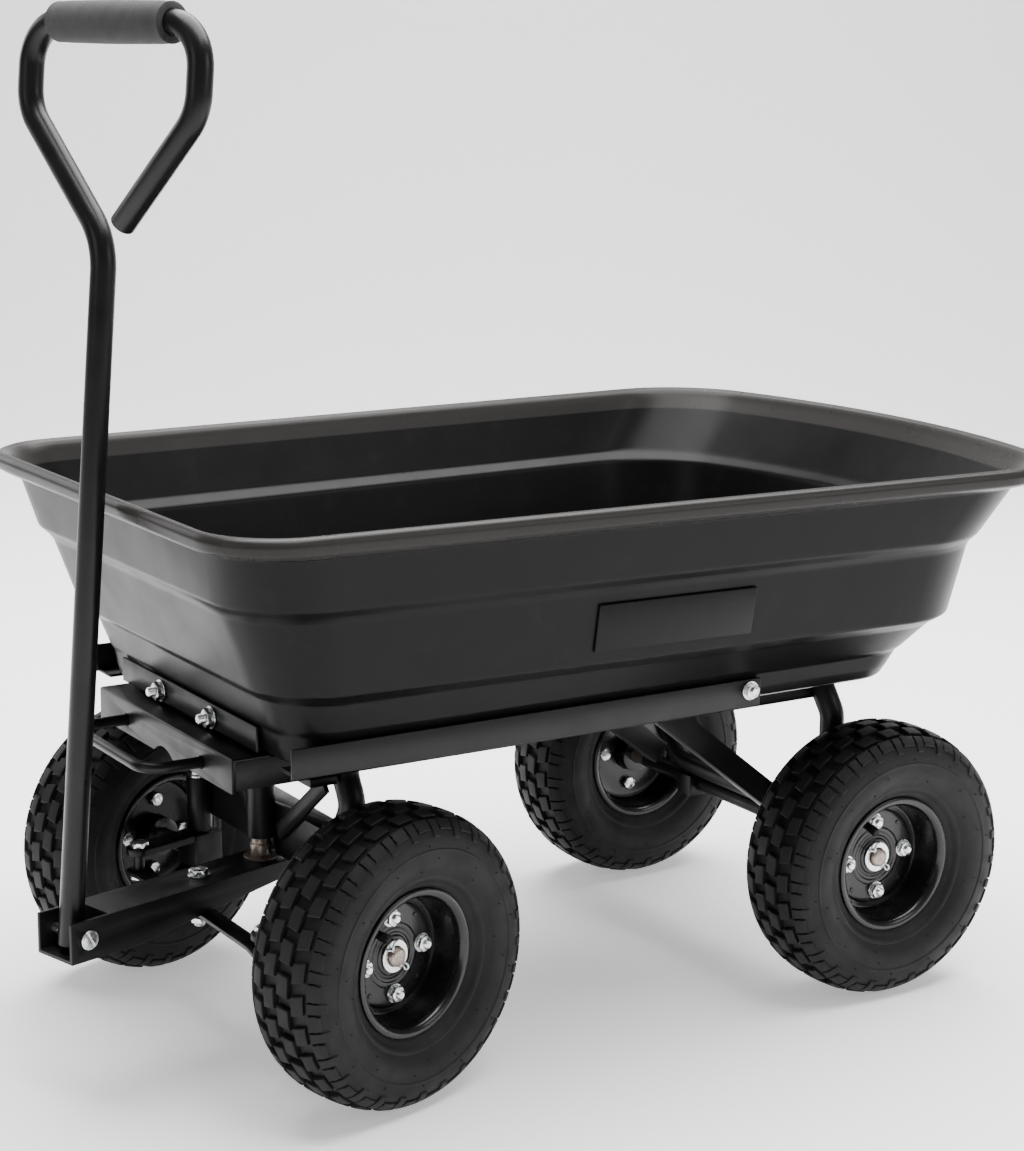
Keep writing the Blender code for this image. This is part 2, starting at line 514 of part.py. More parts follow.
# ---------------------------------------------------------------- steering knuckles and links
for side, s in SIDES:
    knuckle = body("knuckle_body_" + side, chassis, (s * KING_X, FRONT_Y, 0), rz=STEER)
    arm = box("knuckle_" + side, (-0.0140, -0.0160, 0.1180), (0.0140, 0.0160, 0.1496), knuckle,
              COAT)
    join(arm,
         box("knuckle_arm_" + side, (-0.0120, -LINK_R, 0.1430), (0.0120, -0.0100, 0.1496),
             knuckle, cutter=True),
         rod("knuckle_eye_" + side, (0, -LINK_R, 0.1430), (0, -LINK_R, 0.1496), 0.0120, knuckle,
             seg=14, cutter=True),
         rod("knuckle_stud_" + side, (0, -LINK_R, 0.1190), (0, -LINK_R, 0.1450), 0.0050, knuckle,
             seg=12, cutter=True),
         rod("spindle_" + side, (0, 0, TYRE_R), (s * (SPINDLE + 0.0125), 0, TYRE_R), AXLE_R,
             knuckle, seg=16, cutter=True))
    cut(arm, rod("knuckle_bore_" + side, (0, 0, 0.1395), (0, 0, 0.1600), 0.0061, knuckle,
                 cutter=True))
    turned("kingpin_" + side,
           [(0, 0.2110), (0.0100, 0.2110), (0.0100, 0.2033), (0.0056, 0.2033), (0.0056, 0.1400),
            (0, 0.1400)], (0, 0, 1), knuckle, ZINC, seg=12)
    wheel("front_" + side, body("wheel_front_" + side, knuckle, (s * SPINDLE, 0, TYRE_R)), s)

    low = 0.1285 if side == "right" else 0.1240
    link_body = body("link_body_" + side, tongue, (0, -LINK_R, 0), rz=-STEER)
    link = box("steering_link_" + side, (min(0, s * KING_X), -0.0090, low),
               (max(0, s * KING_X), 0.0090, low + 0.0038), link_body, COAT)
    join(link,
         rod("link_eye_in_" + side, (0, 0, low), (0, 0, low + 0.0038), 0.0110, link_body, seg=14,
             cutter=True),
         rod("link_eye_out_" + side, (s * KING_X, 0, low), (s * KING_X, 0, low + 0.0038), 0.0120,
             link_body, seg=14, cutter=True))
    cut(link,
        rod("link_hole_in_" + side, (0, 0, low - 0.01), (0, 0, low + 0.01), 0.0056, link_body,
            seg=12, cutter=True),
        rod("link_hole_out_" + side, (s * KING_X, 0, low - 0.01), (s * KING_X, 0, low + 0.01),
            0.0070, link_body, seg=12, cutter=True))
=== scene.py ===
"""Looks of the garden cart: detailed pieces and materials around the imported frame."""
import math

import bmesh
import bpy
import numpy as np
from mathutils import Matrix, Vector


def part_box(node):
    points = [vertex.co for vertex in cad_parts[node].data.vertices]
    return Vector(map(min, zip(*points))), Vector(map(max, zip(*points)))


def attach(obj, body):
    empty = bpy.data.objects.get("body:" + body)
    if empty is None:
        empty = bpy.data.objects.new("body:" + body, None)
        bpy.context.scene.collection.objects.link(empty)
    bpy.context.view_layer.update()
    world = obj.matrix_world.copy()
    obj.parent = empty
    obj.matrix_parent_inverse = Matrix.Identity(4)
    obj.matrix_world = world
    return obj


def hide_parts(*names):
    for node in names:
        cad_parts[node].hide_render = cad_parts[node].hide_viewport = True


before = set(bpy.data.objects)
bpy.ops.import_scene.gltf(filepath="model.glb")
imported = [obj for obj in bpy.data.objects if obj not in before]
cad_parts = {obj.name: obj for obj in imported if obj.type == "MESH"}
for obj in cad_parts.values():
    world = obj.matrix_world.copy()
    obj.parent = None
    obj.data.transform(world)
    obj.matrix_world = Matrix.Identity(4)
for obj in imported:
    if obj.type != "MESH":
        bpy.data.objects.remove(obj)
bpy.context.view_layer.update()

# ------------------------------------------------------------------ the frame's own dimensions
lo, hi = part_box("rear_axle")
Y0 = (lo.y + hi.y) / 2 - 0.272
STEER, LEAN = math.radians(15), math.radians(5.2)
KING_X, SPINDLE, FRONT_Y, REAR_Y, WHEEL_X, WHEEL_Z = 0.130, 0.075, -0.272, 0.272, 0.205, 0.130
LINK_R, HANDLE_R_AT, HANDLE_Z = 0.073, 0.213, 0.144
HOOP_R, TUBE_R, ROD_R = 0.0118, 0.0107, 0.0050
SIDES = (("left", -1), ("right", 1))
T, R = Matrix.Translation, Matrix.Rotation
CART = T((0, Y0, 0))
TONGUE = CART @ T((0, FRONT_Y, 0)) @ R(STEER, 4, "Z")
HANDLE = TONGUE @ T((0, -HANDLE_R_AT, HANDLE_Z)) @ R(-LEAN, 4, "X")
ALONG_X = R(math.pi / 2, 4, "Y")       # sends a lathe's own Z axis to +X


def knuckle_at(s):
    return CART @ T((s * KING_X, FRONT_Y, 0)) @ R(STEER, 4, "Z")


# ------------------------------------------------------------------ materials
class Nodes:
    """A short way to write a node tree."""

    def __init__(self, name):
        self.mat = bpy.data.materials.new(name)
        self.mat.use_nodes = True
        self.tree = self.mat.node_tree
        self.bsdf = self.tree.nodes["Principled BSDF"]
        self.coord = self.tree.nodes.new("ShaderNodeTexCoord").outputs["Object"]

    def new(self, kind, **inputs):
        node = self.tree.nodes.new(kind)
        for key, value in inputs.items():
            self.put(node, key, value)
        return node

    def put(self, node, key, value):
        socket = node.inputs[key.replace("_", " ")] if isinstance(key, str) else node.inputs[key]
        if isinstance(value, bpy.types.NodeSocket):
            self.tree.links.new(value, socket)
        else:
            socket.default_value = value

    def noise(self, scale, detail=4.0, rough=0.55, stretch=None, kind="ShaderNodeTexNoise"):
        vector = self.coord
        if stretch is not None:
            mapping = self.new("ShaderNodeMapping", Vector=vector, Scale=stretch)
            vector = mapping.outputs[0]
        node = self.new(kind, Vector=vector, Scale=scale)
        if kind == "ShaderNodeTexNoise":
            node.inputs["Detail"].default_value = detail
            node.inputs["Roughness"].default_value = rough
            return node.outputs["Fac"]
        return node.outputs["Distance"]

    def span(self, value, a, b, lo, hi):
        node = self.new("ShaderNodeMapRange")
        self.tree.links.new(value, node.inputs["Value"])
        for key, x in (("From Min", a), ("From Max", b), ("To Min", lo), ("To Max", hi)):
            node.inputs[key].default_value = x
        return node.outputs["Result"]

    def math(self, op, a, b=0.0, clamp=False):
        node = self.new("ShaderNodeMath")
        node.operation = op
        node.use_clamp = clamp
        self.put(node, 0, a)
        self.put(node, 1, b)
        return node.outputs[0]

    def mix(self, fac, a, b):
        node = self.new("ShaderNodeMix")
        node.data_type = "RGBA"
        self.put(node, 0, fac)
        for index, value in ((6, a), (7, b)):
            if not isinstance(value, bpy.types.NodeSocket):
                value = (*value, 1.0)
            self.put(node, index, value)
        return node.outputs[2]

    def set(self, **values):
        for key, value in values.items():
            key = key.replace("_", " ")
            if key == "Base Color" and not isinstance(value, bpy.types.NodeSocket):
                value = (*value, 1.0)
            self.put(self.bsdf, key, value)

    def bump(self, height, distance, strength=1.0, below=None):
        node = self.new("ShaderNodeBump", Height=height, Distance=distance, Strength=strength)
        if below is not None:
            self.tree.links.new(below, node.inputs["Normal"])
        self.tree.links.new(node.outputs[0], self.bsdf.inputs["Normal"])
        return node.outputs[0]


def powder_coat(name="powder_coat", base=(0.0046, 0.0046, 0.0050), rough=0.37):
    n = Nodes(name)
    cloud = n.noise(14, 5)
    fine = n.noise(420, 3)
    scuff = n.span(n.noise(60, 8, 0.75, (1, 1, 6)), 0.62, 0.74, 0.0, 1.0)
    colour = n.mix(cloud, [c * 0.75 for c in base], [c * 1.35 for c in base])
    n.set(Base_Color=n.mix(n.math("MULTIPLY", scuff, 0.35), colour, [c * 2.6 for c in base]),
          Roughness=n.math("ADD", n.span(n.noise(35, 6), 0.3, 0.7, rough - 0.06, rough + 0.08),
                           n.math("MULTIPLY", scuff, 0.10)))
    n.bsdf.inputs["Specular IOR Level"].default_value = 0.22
    n.bump(n.noise(900, 2), 0.00004, 0.6, below=n.bump(fine, 0.00010, 0.5))
    return n.mat


def enamel():
    n = Nodes("rim_enamel")
    base = (0.0030, 0.0030, 0.0033)
    dust = n.span(n.noise(45, 7, 0.7), 0.52, 0.78, 0.0, 1.0)
    n.set(Base_Color=n.mix(n.math("MULTIPLY", dust, 0.30), base, (0.0130, 0.0120, 0.0110)),
          Roughness=n.span(n.noise(30, 6), 0.3, 0.7, 0.20, 0.34))
    n.bsdf.inputs["Specular IOR Level"].default_value = 0.30
    n.bsdf.inputs["Coat Weight"].default_value = 0.22
    n.bsdf.inputs["Coat Roughness"].default_value = 0.12
    n.bump(n.noise(260, 3), 0.00006, 0.5)
    return n.mat


def tub_plastic():
    n = Nodes("tub_poly")
    split = n.new("ShaderNodeSeparateXYZ", Vector=n.coord).outputs["Z"]
    # rim masks the rolled lip above z 0.49: the lip is painted lighter and warmer than the body, as painted light where
    # the lip faces the lamps. The same mask also lowers the roughness there.
    rim = n.span(split, 0.4900, 0.4915, 0.0, 1.0)
    cloud = n.noise(6, 6, 0.6)
    body = n.mix(cloud, (0.0026, 0.0026, 0.0028), (0.0046, 0.0045, 0.0047))
    # edge is the painted light of the rim: the lit colour of the rolled lip, not a different plastic
    edge = n.mix(cloud, (0.0200, 0.0186, 0.0180), (0.0280, 0.0258, 0.0248))
    dust = n.span(n.noise(38, 8, 0.72), 0.55, 0.80, 0.0, 1.0)
    colour = n.mix(rim, body, edge)
    n.set(Base_Color=n.mix(n.math("MULTIPLY", dust, 0.18), colour, (0.0300, 0.0285, 0.0265)),
          Roughness=n.math("ADD", n.span(n.noise(22, 6), 0.3, 0.7, 0.30, 0.38),
                           n.math("MULTIPLY", rim, -0.05)))
    n.bsdf.inputs["Specular IOR Level"].default_value = 0.11
    n.bump(n.noise(700, 3, 0.6), 0.00010, 0.55, below=n.bump(n.noise(9, 3), 0.0006, 0.35))
    return n.mat


def panel_plastic():
    n = Nodes("panel_poly")
    n.set(Base_Color=n.mix(n.noise(40, 5), (0.0032, 0.0032, 0.0036), (0.0060, 0.0060, 0.0063)),
          Roughness=n.span(n.noise(60, 5), 0.3, 0.7, 0.26, 0.38))
    n.bsdf.inputs["Specular IOR Level"].default_value = 0.12
    n.bump(n.noise(1100, 2), 0.00005, 0.5)
    return n.mat


def zinc():
    n = Nodes("zinc_plate")
    tone = n.mix(n.noise(90, 5), (0.66, 0.69, 0.74), (0.88, 0.87, 0.83))
    stain = n.span(n.noise(160, 7, 0.7), 0.58, 0.75, 0.0, 0.45)
    n.set(Base_Color=n.mix(stain, tone, (0.30, 0.28, 0.25)), Metallic=1.0,
          Roughness=n.span(n.noise(220, 5), 0.3, 0.7, 0.20, 0.38))
    n.bump(n.noise(1500, 3), 0.00003, 0.5)
    return n.mat


def dull_steel():
    n = Nodes("plain_steel")
    rust = n.span(n.noise(240, 8, 0.7), 0.50, 0.68, 0.0, 1.0)
    n.set(Base_Color=n.mix(rust, (0.36, 0.31, 0.27), (0.13, 0.075, 0.045)),
          Metallic=n.span(rust, 0.0, 1.0, 0.95, 0.55),
          Roughness=n.span(n.noise(180, 6), 0.3, 0.7, 0.34, 0.55))
    n.bump(n.noise(900, 5), 0.00008, 0.7)
    return n.mat


def rubber():
    n = Nodes("tyre_rubber")
    cloud = n.noise(18, 6, 0.62)
    dust = n.span(n.noise(120, 8, 0.75), 0.50, 0.75, 0.0, 1.0)
    colour = n.mix(cloud, (0.0042, 0.0042, 0.0044), (0.0085, 0.0083, 0.0081))
    n.set(Base_Color=n.mix(n.math("MULTIPLY", dust, 0.35), colour, (0.0210, 0.0198, 0.0185)),
          Roughness=n.span(n.noise(50, 6), 0.3, 0.7, 0.52, 0.68))
    n.bsdf.inputs["Specular IOR Level"].default_value = 0.22
    n.bump(n.noise(1300, 3), 0.00005, 0.6, below=n.bump(n.noise(170, 5, 0.6), 0.00022, 0.5))
    return n.mat


def foam():
    n = Nodes("grip_foam")
    cells = n.noise(1000, kind="ShaderNodeTexVoronoi")
    n.set(Base_Color=n.mix(n.noise(60, 6), (0.0110, 0.0110, 0.0115), (0.0210, 0.0205, 0.0205)),
          Roughness=n.span(n.noise(80, 5), 0.3, 0.7, 0.78, 0.92))
    n.bsdf.inputs["Sheen Weight"].default_value = 0.10
    n.bsdf.inputs["Sheen Roughness"].default_value = 0.5
    n.bump(cells, 0.00025, 0.8, below=n.bump(n.noise(140, 5), 0.0004, 0.5))
    return n.mat


COAT, RIM, POLY, PANEL = powder_coat(), enamel(), tub_plastic(), panel_plastic()
ZINC, STEEL, TYRE, FOAM = zinc(), dull_steel(), rubber(), foam()
STEM = powder_coat("valve_rubber", (0.0050, 0.0050, 0.0050), 0.50)
DARK_TUBE = powder_coat("tube_coat", (0.0052, 0.0051, 0.0051), 0.31)


# ------------------------------------------------------------------ mesh code
class Shape:
    """Vertices and faces collected from several shells."""

    def __init__(self):
        self.v, self.f, self.m = [], [], []

    def add(self, shell, M=None, mat=0):
        verts, faces = shell
        base = len(self.v)
        if M is not None:
            verts = [M @ Vector(p) for p in verts]
        self.v += [tuple(p) for p in verts]
        self.f += [tuple(base + i for i in face) for face in faces]
        self.m += [mat] * len(faces)
        return self

    def make(self, name, body, mats, M=None, angle=38, replaces=(), slot=None):
        data = bpy.data.meshes.new(name)
        verts = self.v if M is None else [M @ Vector(p) for p in self.v]
        data.from_pydata([tuple(p) for p in verts], [], self.f)
        for mat in mats:
            data.materials.append(mat)
        data.polygons.foreach_set("material_index", self.m)
        bm = bmesh.new()
        bm.from_mesh(data)
        bmesh.ops.recalc_face_normals(bm, faces=bm.faces)
        bm.to_mesh(data)
        bm.free()
        data.shade_smooth()
        data.set_sharp_from_angle(angle=math.radians(angle))
        obj = bpy.data.objects.new(name, data)
        bpy.context.scene.collection.objects.link(obj)
        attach(obj, body)
        if replaces:
            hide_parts(*replaces)
        return obj


def rings(loops, closed=True, caps=(True, True)):
    """Faces between loops of equal length; a loop of one point closes to a fan."""
    verts, starts, faces = [], [], []
    for loop in loops:
        starts.append(len(verts))
        verts += [tuple(p) for p in loop]
    for a in range(len(loops) - 1):
        la, lb, sa, sb = len(loops[a]), len(loops[a + 1]), starts[a], starts[a + 1]
        n = max(la, lb)
        for i in range(n):
            j = (i + 1) % n
            if la == 1:
                faces.append((sa, sb + j, sb + i))
            elif lb == 1:
                faces.append((sa + i, sa + j, sb))
            else:
                faces.append((sa + i, sa + j, sb + j, sb + i))
    if closed and len(loops[0]) > 2 and caps[0]:
        faces.append(tuple(range(starts[0], starts[0] + len(loops[0])))[::-1])
    if closed and len(loops[-1]) > 2 and caps[1]:
        faces.append(tuple(range(starts[-1], starts[-1] + len(loops[-1]))))
    return verts, faces


def lathe(profile, seg=48, ring=False, turn=0.0):
    """(radius, height) points turned about Z; ring joins the last point to the first."""
    loops = []
    for r, h in profile:
        if r < 1e-6:
            loops.append([(0.0, 0.0, h)])
        else:
            loops.append([(r * math.cos(a), r * math.sin(a), h)
                          for a in (turn + 2 * math.pi * i / seg for i in range(seg))])
    if ring:
        verts, faces = rings(loops, closed=False)
        a, b = (len(loops) - 1) * seg, 0
        faces += [(a + i, a + (i + 1) % seg, b + (i + 1) % seg, b + i) for i in range(seg)]
        return verts, faces
    return rings(loops)


def soften(points, reach, steps=3, closed=False, share=0.42):
    """A polyline with each corner turned into a short curve."""
    pts = [np.array(p, float) for p in points]
    n = len(pts)
    out = [] if closed else [pts[0]]
    for i in (range(n) if closed else range(1, n - 1)):
        a, b, c = pts[i - 1], pts[i], pts[(i + 1) % n]
        la, lc = np.linalg.norm(a - b), np.linalg.norm(c - b)
        ra, rc = min(reach, la * share), min(reach, lc * share)
        p, q = b + (a - b) * (ra / la), b + (c - b) * (rc / lc)
        for k in range(steps + 1):
            t = k / steps
            out.append(p * (1 - t) ** 2 + b * 2 * t * (1 - t) + q * t * t)
    if not closed:
        out.append(pts[-1])
    return [tuple(float(x) for x in p) for p in out]


def bent(points, radii, steps=8):
    """A polyline whose corners are rounded to the given radii."""
    points = [Vector(p) for p in points]
    out = [points[0]]
    for before, corner, after, radius in zip(points, points[1:], points[2:], radii):
        u, v = (before - corner).normalized(), (after - corner).normalized()
        half = u.angle(v) / 2
        reach = radius / math.tan(half)
        centre = corner + (u + v).normalized() * (radius / math.sin(half))
        a, b = corner + u * reach - centre, corner + v * reach - centre
        turn = a.rotation_difference(b)
        for i in range(steps + 1):
            step = a.copy()
            step.rotate(turn.__class__((1, 0, 0, 0)).slerp(turn, i / steps))
            out.append(centre + step)
    out.append(points[-1])
    return out


def sweep(points, radius, seg=28, ends=("round", "round"), scale=None):
    """A round tube along a line, with eased ends."""
    pts = [Vector(p) for p in points]
    tangents = []
    for i in range(len(pts)):
        a, b = pts[max(i - 1, 0)], pts[min(i + 1, len(pts) - 1)]
        tangents.append((b - a).normalized())
    side = tangents[0].orthogonal().normalized()
    loops, frames = [], []
    for i, (p, t) in enumerate(zip(pts, tangents)):
        if i:
            side = tangents[i - 1].rotation_difference(t) @ side
        side = (side - t * side.dot(t)).normalized()
        frames.append((p, t, side, t.cross(side)))

    def loop(p, side, up, r):
        return [p + side * (r * math.cos(a)) + up * (r * math.sin(a))
                for a in (2 * math.pi * k / seg for k in range(seg))]

    ease = 0.0012
    for i, (p, t, side, up) in enumerate(frames):
        r = radius * (scale[i] if scale else 1.0)
        if i == 0 and ends[0] == "round":
            loops += [loop(p, side, up, r - ease), loop(p + t * (ease * 0.3), side, up, r - ease * 0.3),
                      loop(p + t * ease, side, up, r)]
        elif i == len(frames) - 1 and ends[1] == "round":
            loops += [loop(p - t * ease, side, up, r), loop(p - t * (ease * 0.3), side, up, r - ease * 0.3),
                      loop(p, side, up, r - ease)]
        else:
            loops.append(loop(p, side, up, r))
    return rings(loops)


def from_bmesh(bm):
    bm.verts.index_update()
    shell = [tuple(v.co) for v in bm.verts], [tuple(v.index for v in f.verts) for f in bm.faces]
    bm.free()
    return shell


def rbox(lo, hi, edge=0.0012, seg=2):
    """A block with eased edges."""
    lo, hi = Vector(lo), Vector(hi)
    bm = bmesh.new()
    bmesh.ops.create_cube(bm, size=1.0)
    bmesh.ops.scale(bm, vec=hi - lo, verts=bm.verts)
    bmesh.ops.translate(bm, vec=(lo + hi) / 2, verts=bm.verts)
    bmesh.ops.bevel(bm, geom=bm.edges[:], offset=edge, segments=seg, profile=0.5, affect="EDGES")
    return from_bmesh(bm)


def plate(outline, z0, z1, edge=0.0006):
    """An outline in XY given a thickness, its rims eased."""
    def inset(d):
        n = len(outline)
        out = []
        for i in range(n):
            a, b, c = (Vector((*outline[j % n], 0)) for j in (i - 1, i, i + 1))
            u, v = (b - a).normalized(), (c - b).normalized()
            nu, nv = Vector((-u.y, u.x, 0)), Vector((-v.y, v.x, 0))
            m = (nu + nv).normalized()
            out.append(b + m * (d / max(0.3, m.dot(nu))))
        return out
    area = sum(a[0] * b[1] - b[0] * a[1] for a, b in zip(outline, outline[1:] + outline[:1]))
    sign = 1 if area > 0 else -1
    loops = []
    for z, d in ((z0, edge), (z0 + edge * 0.3, edge * 0.3), (z0 + edge, 0), (z1 - edge, 0),
                 (z1 - edge * 0.3, edge * 0.3), (z1, edge)):
        loops.append([(p.x, p.y, z) for p in inset(sign * d)])
    return rings(loops)


def hexagon(corner, z0, z1, chamfer=0.0008, turn=0.0):
    """A hex head or nut: flats with turned-down corners, and a flat washer face."""
    flat = corner * math.cos(math.pi / 6)
    loops = []
    n = 36
    for z, limit in ((z0, flat * 0.985), (z0 + chamfer * 0.6, corner), (z1 - chamfer, corner),
                     (z1 - chamfer * 0.4, (corner + flat) / 2), (z1, flat * 0.93)):
        loop = []
        for i in range(n):
            a = 2 * math.pi * i / n
            off = (a + math.pi / 6) % (math.pi / 3) - math.pi / 6
            r = min(flat / math.cos(off), limit)
            loop.append((r * math.cos(a + turn), r * math.sin(a + turn), z))
        loops.append(loop)
    return rings(loops)


def threads(radius, z0, z1, pitch=0.00125, tip=True, seg=20):
    """The threaded end of a bolt, with a pointed start."""
    profile = [(0, z0), (radius, z0)]
    z = z0 + pitch * 0.3
    while z < z1 - pitch:
        profile += [(radius, z), (radius * 0.87, z + pitch * 0.5)]
        z += pitch
    profile += [(radius * 0.95, z1 - pitch * 0.5), (radius * 0.72, z1), (0, z1 - 0.0002)]
    return lathe(profile, seg)


def washer(inner, outer, z0, z1, seg=32):
    e = min(0.0003, (z1 - z0) * 0.3)
    return lathe([(inner, z0 + e), (inner, z1 - e), (inner + e, z1), (outer - e, z1), (outer, z1 - e),
                  (outer, z0 + e), (outer - e, z0), (inner + e, z0)], seg, ring=True)


def keep(node, mat, edge=0.0008, seg=2):
    """A CAD node shown as it is, its edges eased and its material set."""
    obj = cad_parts[node]
    obj.data.materials.clear()
    obj.data.materials.append(mat)
    if edge:
        weld = obj.modifiers.new("weld", "WELD")
        weld.merge_threshold = 0.00001
        bevel = obj.modifiers.new("edges", "BEVEL")
        bevel.width = edge
        bevel.segments = seg
        bevel.limit_method = "ANGLE"
        bevel.angle_limit = math.radians(32)
        bevel.harden_normals = False
        obj.data.shade_smooth()
        obj.data.set_sharp_from_angle(angle=math.radians(40))
    return obj


# ------------------------------------------------------------------ tub
TUB_OUTER = (
    (0.3000, 0.1890, 0.1900, -0.3300, 0.3180, 0.0360, 0.050, 0.010),
    (0.3030, 0.1955, 0.1965, -0.3350, 0.3206, 0.0403, 0.055, 0.012),
    (0.3120, 0.1995, 0.2005, -0.3372, 0.3283, 0.0433, 0.058, 0.014),
    (0.3255, 0.2018, 0.2028, -0.3398, 0.3399, 0.0467, 0.060, 0.016),
    (0.3310, 0.2060, 0.2110, -0.3430, 0.3447, 0.0493, 0.064, 0.018),
    (0.3570, 0.2155, 0.2370, -0.3530, 0.3670, 0.0571, 0.080, 0.022),
    (0.3615, 0.2205, 0.2460, -0.3580, 0.3715, 0.0596, 0.086, 0.024),
    (0.3676, 0.2293, 0.2560, -0.3664, 0.3793, 0.0623, 0.092, 0.026),
    (0.4320, 0.2415, 0.2680, -0.3900, 0.4000, 0.0730, 0.101, 0.034),
    (0.4375, 0.2450, 0.2715, -0.3940, 0.4035, 0.0740, 0.104, 0.035),
    (0.4447, 0.2518, 0.2785, -0.4012, 0.4099, 0.0760, 0.107, 0.036),
    (0.4900, 0.2620, 0.2880, -0.4130, 0.4410, 0.0740, 0.106, 0.033),
    (0.4925, 0.2700, 0.2980, -0.4230, 0.4560, 0.0710, 0.105, 0.032),
    (0.4965, 0.2760, 0.3045, -0.4285, 0.4625, 0.0700, 0.105, 0.032),
    (0.5045, 0.2778, 0.3065, -0.4300, 0.4642, 0.0700, 0.105, 0.032),
    (0.5090, 0.2755, 0.3040, -0.4278, 0.4617, 0.0690, 0.104, 0.032),
    (0.5110, 0.2710, 0.2995, -0.4240, 0.4575, 0.0680, 0.103, 0.032),
)
TUB_INNER = (
    (0.5085, 0.2660, 0.2940, -0.4190, 0.4522, 0.0670, 0.101, 0.032),
    (0.5020, 0.2625, 0.2905, -0.4150, 0.4480, 0.0660, 0.100, 0.032),
    (0.4480, 0.2475, 0.2740, -0.3965, 0.4055, 0.0730, 0.103, 0.035),
    (0.4400, 0.2375, 0.2640, -0.3865, 0.3960, 0.0700, 0.100, 0.033),
    (0.3705, 0.2250, 0.2515, -0.3620, 0.3745, 0.0586, 0.088, 0.025),
    (0.3630, 0.2150, 0.2400, -0.3525, 0.3655, 0.0548, 0.082, 0.023),
    (0.3300, 0.2015, 0.2060, -0.3380, 0.3392, 0.0442, 0.060, 0.016),
    (0.3080, 0.1905, 0.1915, -0.3300, 0.3195, 0.0349, 0.050, 0.012),
    (0.3045, 0.1810, 0.1820, -0.3210, 0.3110, 0.0285, 0.042, 0.010),
)


def outline(z, wf, wr, yf, yr, cf, cr, bow, n=12):
    right = [((wf - cf) * i / 6, yf) for i in range(6)]
    right += [(wf - cf + cf * math.sin(a), yf + cf - cf * math.cos(a))
              for a in (math.pi / 2 * i / n for i in range(n + 1))]
    lean = 0.0
    for _ in range(6):
        flat = wr - cr * (1 - math.sin(lean))
        lean = math.atan(2 * bow / flat)
    start, end = yf + cf, yr - bow - cr * math.cos(lean)
    right += [(wf + (wr - wf) * i / 16, start + (end - start) * i / 16) for i in range(1, 16)]
    right += [(wr - cr + cr * math.cos(a), end + cr * math.sin(a))
              for a in ((math.pi / 2 - lean) * i / n for i in range(n + 1))]
    right += [(flat * (1 - i / 8), yr - bow * (1 - i / 8) ** 2) for i in range(1, 9)]
    left = [(-x, y) for x, y in right[-2:0:-1]]
    return [(x, y, z) for x, y in right + left]


levels = soften(TUB_OUTER, 0.0026, 4, share=0.46) + soften(TUB_INNER, 0.0040, 4, share=0.46)
braced = [levels[0]]             # a ring close to each end of a wall keeps its shading flat
for low, high in zip(levels, levels[1:]):
    reach = math.dist(low[:5], high[:5])
    if reach > 0.009:
        for t in (0.0016 / reach, 1 - 0.0016 / reach):
            braced.append(tuple(p + (q - p) * t for p, q in zip(low, high)))
    braced.append(high)
shell = rings([outline(*level) for level in braced], caps=(True, False))
floor_loop = outline(*levels[-1])
base = len(shell[0])
steps = 6
verts, faces = list(shell[0]), list(shell[1])
previous = base - len(floor_loop)
for k in range(1, steps + 1):     # the floor runs in towards the middle with a slight crown
    t = 1 - k / (steps + 0.0)
    start = len(verts)
    if k < steps:
        verts += [(x * t, y * t - 0.0, z + 0.0008 * math.sin(math.pi * (1 - t) / 2)) for x, y, z in floor_loop]
        n = len(floor_loop)
        faces += [(previous + i, previous + (i + 1) % n, start + (i + 1) % n, start + i) for i in range(n)]
        previous = start
    else:
        verts.append((0, 0, floor_loop[0][2] + 0.0008))
        n = len(floor_loop)
        faces += [(previous + i, previous + (i + 1) % n, start) for i in range(n)]
Shape().add((verts, faces)).make("tub_skin", "tub", [POLY], CART, 60, ["tub_shell"], "tub_poly")

# carriage bolts through the floor into the bed rails, and their washers
dome = [(0, 0.0030), (0.0040, 0.0027), (0.0075, 0.0015), (0.0092, 0.0002), (0.0094, -0.0012), (0, -0.0012)]
heads = Shape()
for s in (-1, 1):
    for y in (-0.29, -0.10, 0.085, 0.245):
        heads.add(lathe(dome, 28), T((s * 0.158, y, 0.3049)))
        heads.add(washer(0.006, 0.0125, -0.0006, 0.0006), T((s * 0.158, y, 0.3049)))
heads.make("floor_bolts", "tub", [ZINC], CART, 40, slot="zinc_plate")


# ------------------------------------------------------------------ wheels
def surface(w):
    """Radius of the tread face at axial position w."""
    w = abs(w)
    knots = ((0, 0.1300), (0.010, 0.1298), (0.020, 0.1288), (0.028, 0.1267), (0.034, 0.1238),
             (0.039, 0.1198), (0.0425, 0.1150), (0.0445, 0.1090))
    for (a, ra), (b, rb) in zip(knots, knots[1:]):
        if w <= b:
            t = (w - a) / (b - a)
            return ra + (rb - ra) * t
    return knots[-1][1]


ACROSS = []                      # the tread face by arc length: (s, w, r, normal_w, normal_r)
w_list = [0.0445 * (1 - (1 - i / 60) ** 1.5) for i in range(61)]
s_total, previous = 0.0, None
for w in w_list:
    r = surface(w)
    if previous:
        s_total += math.hypot(w - previous[0], r - previous[1])
    ACROSS.append((s_total, w, r))
    previous = (w, r)
S_AT = np.array([a[0] for a in ACROSS])
W_AT = np.array([a[1] for a in ACROSS])
R_AT = np.array([a[2] for a in ACROSS])
kernel = np.ones(7) / 7
R_AT[3:-3] = np.convolve(R_AT, kernel, "same")[3:-3]


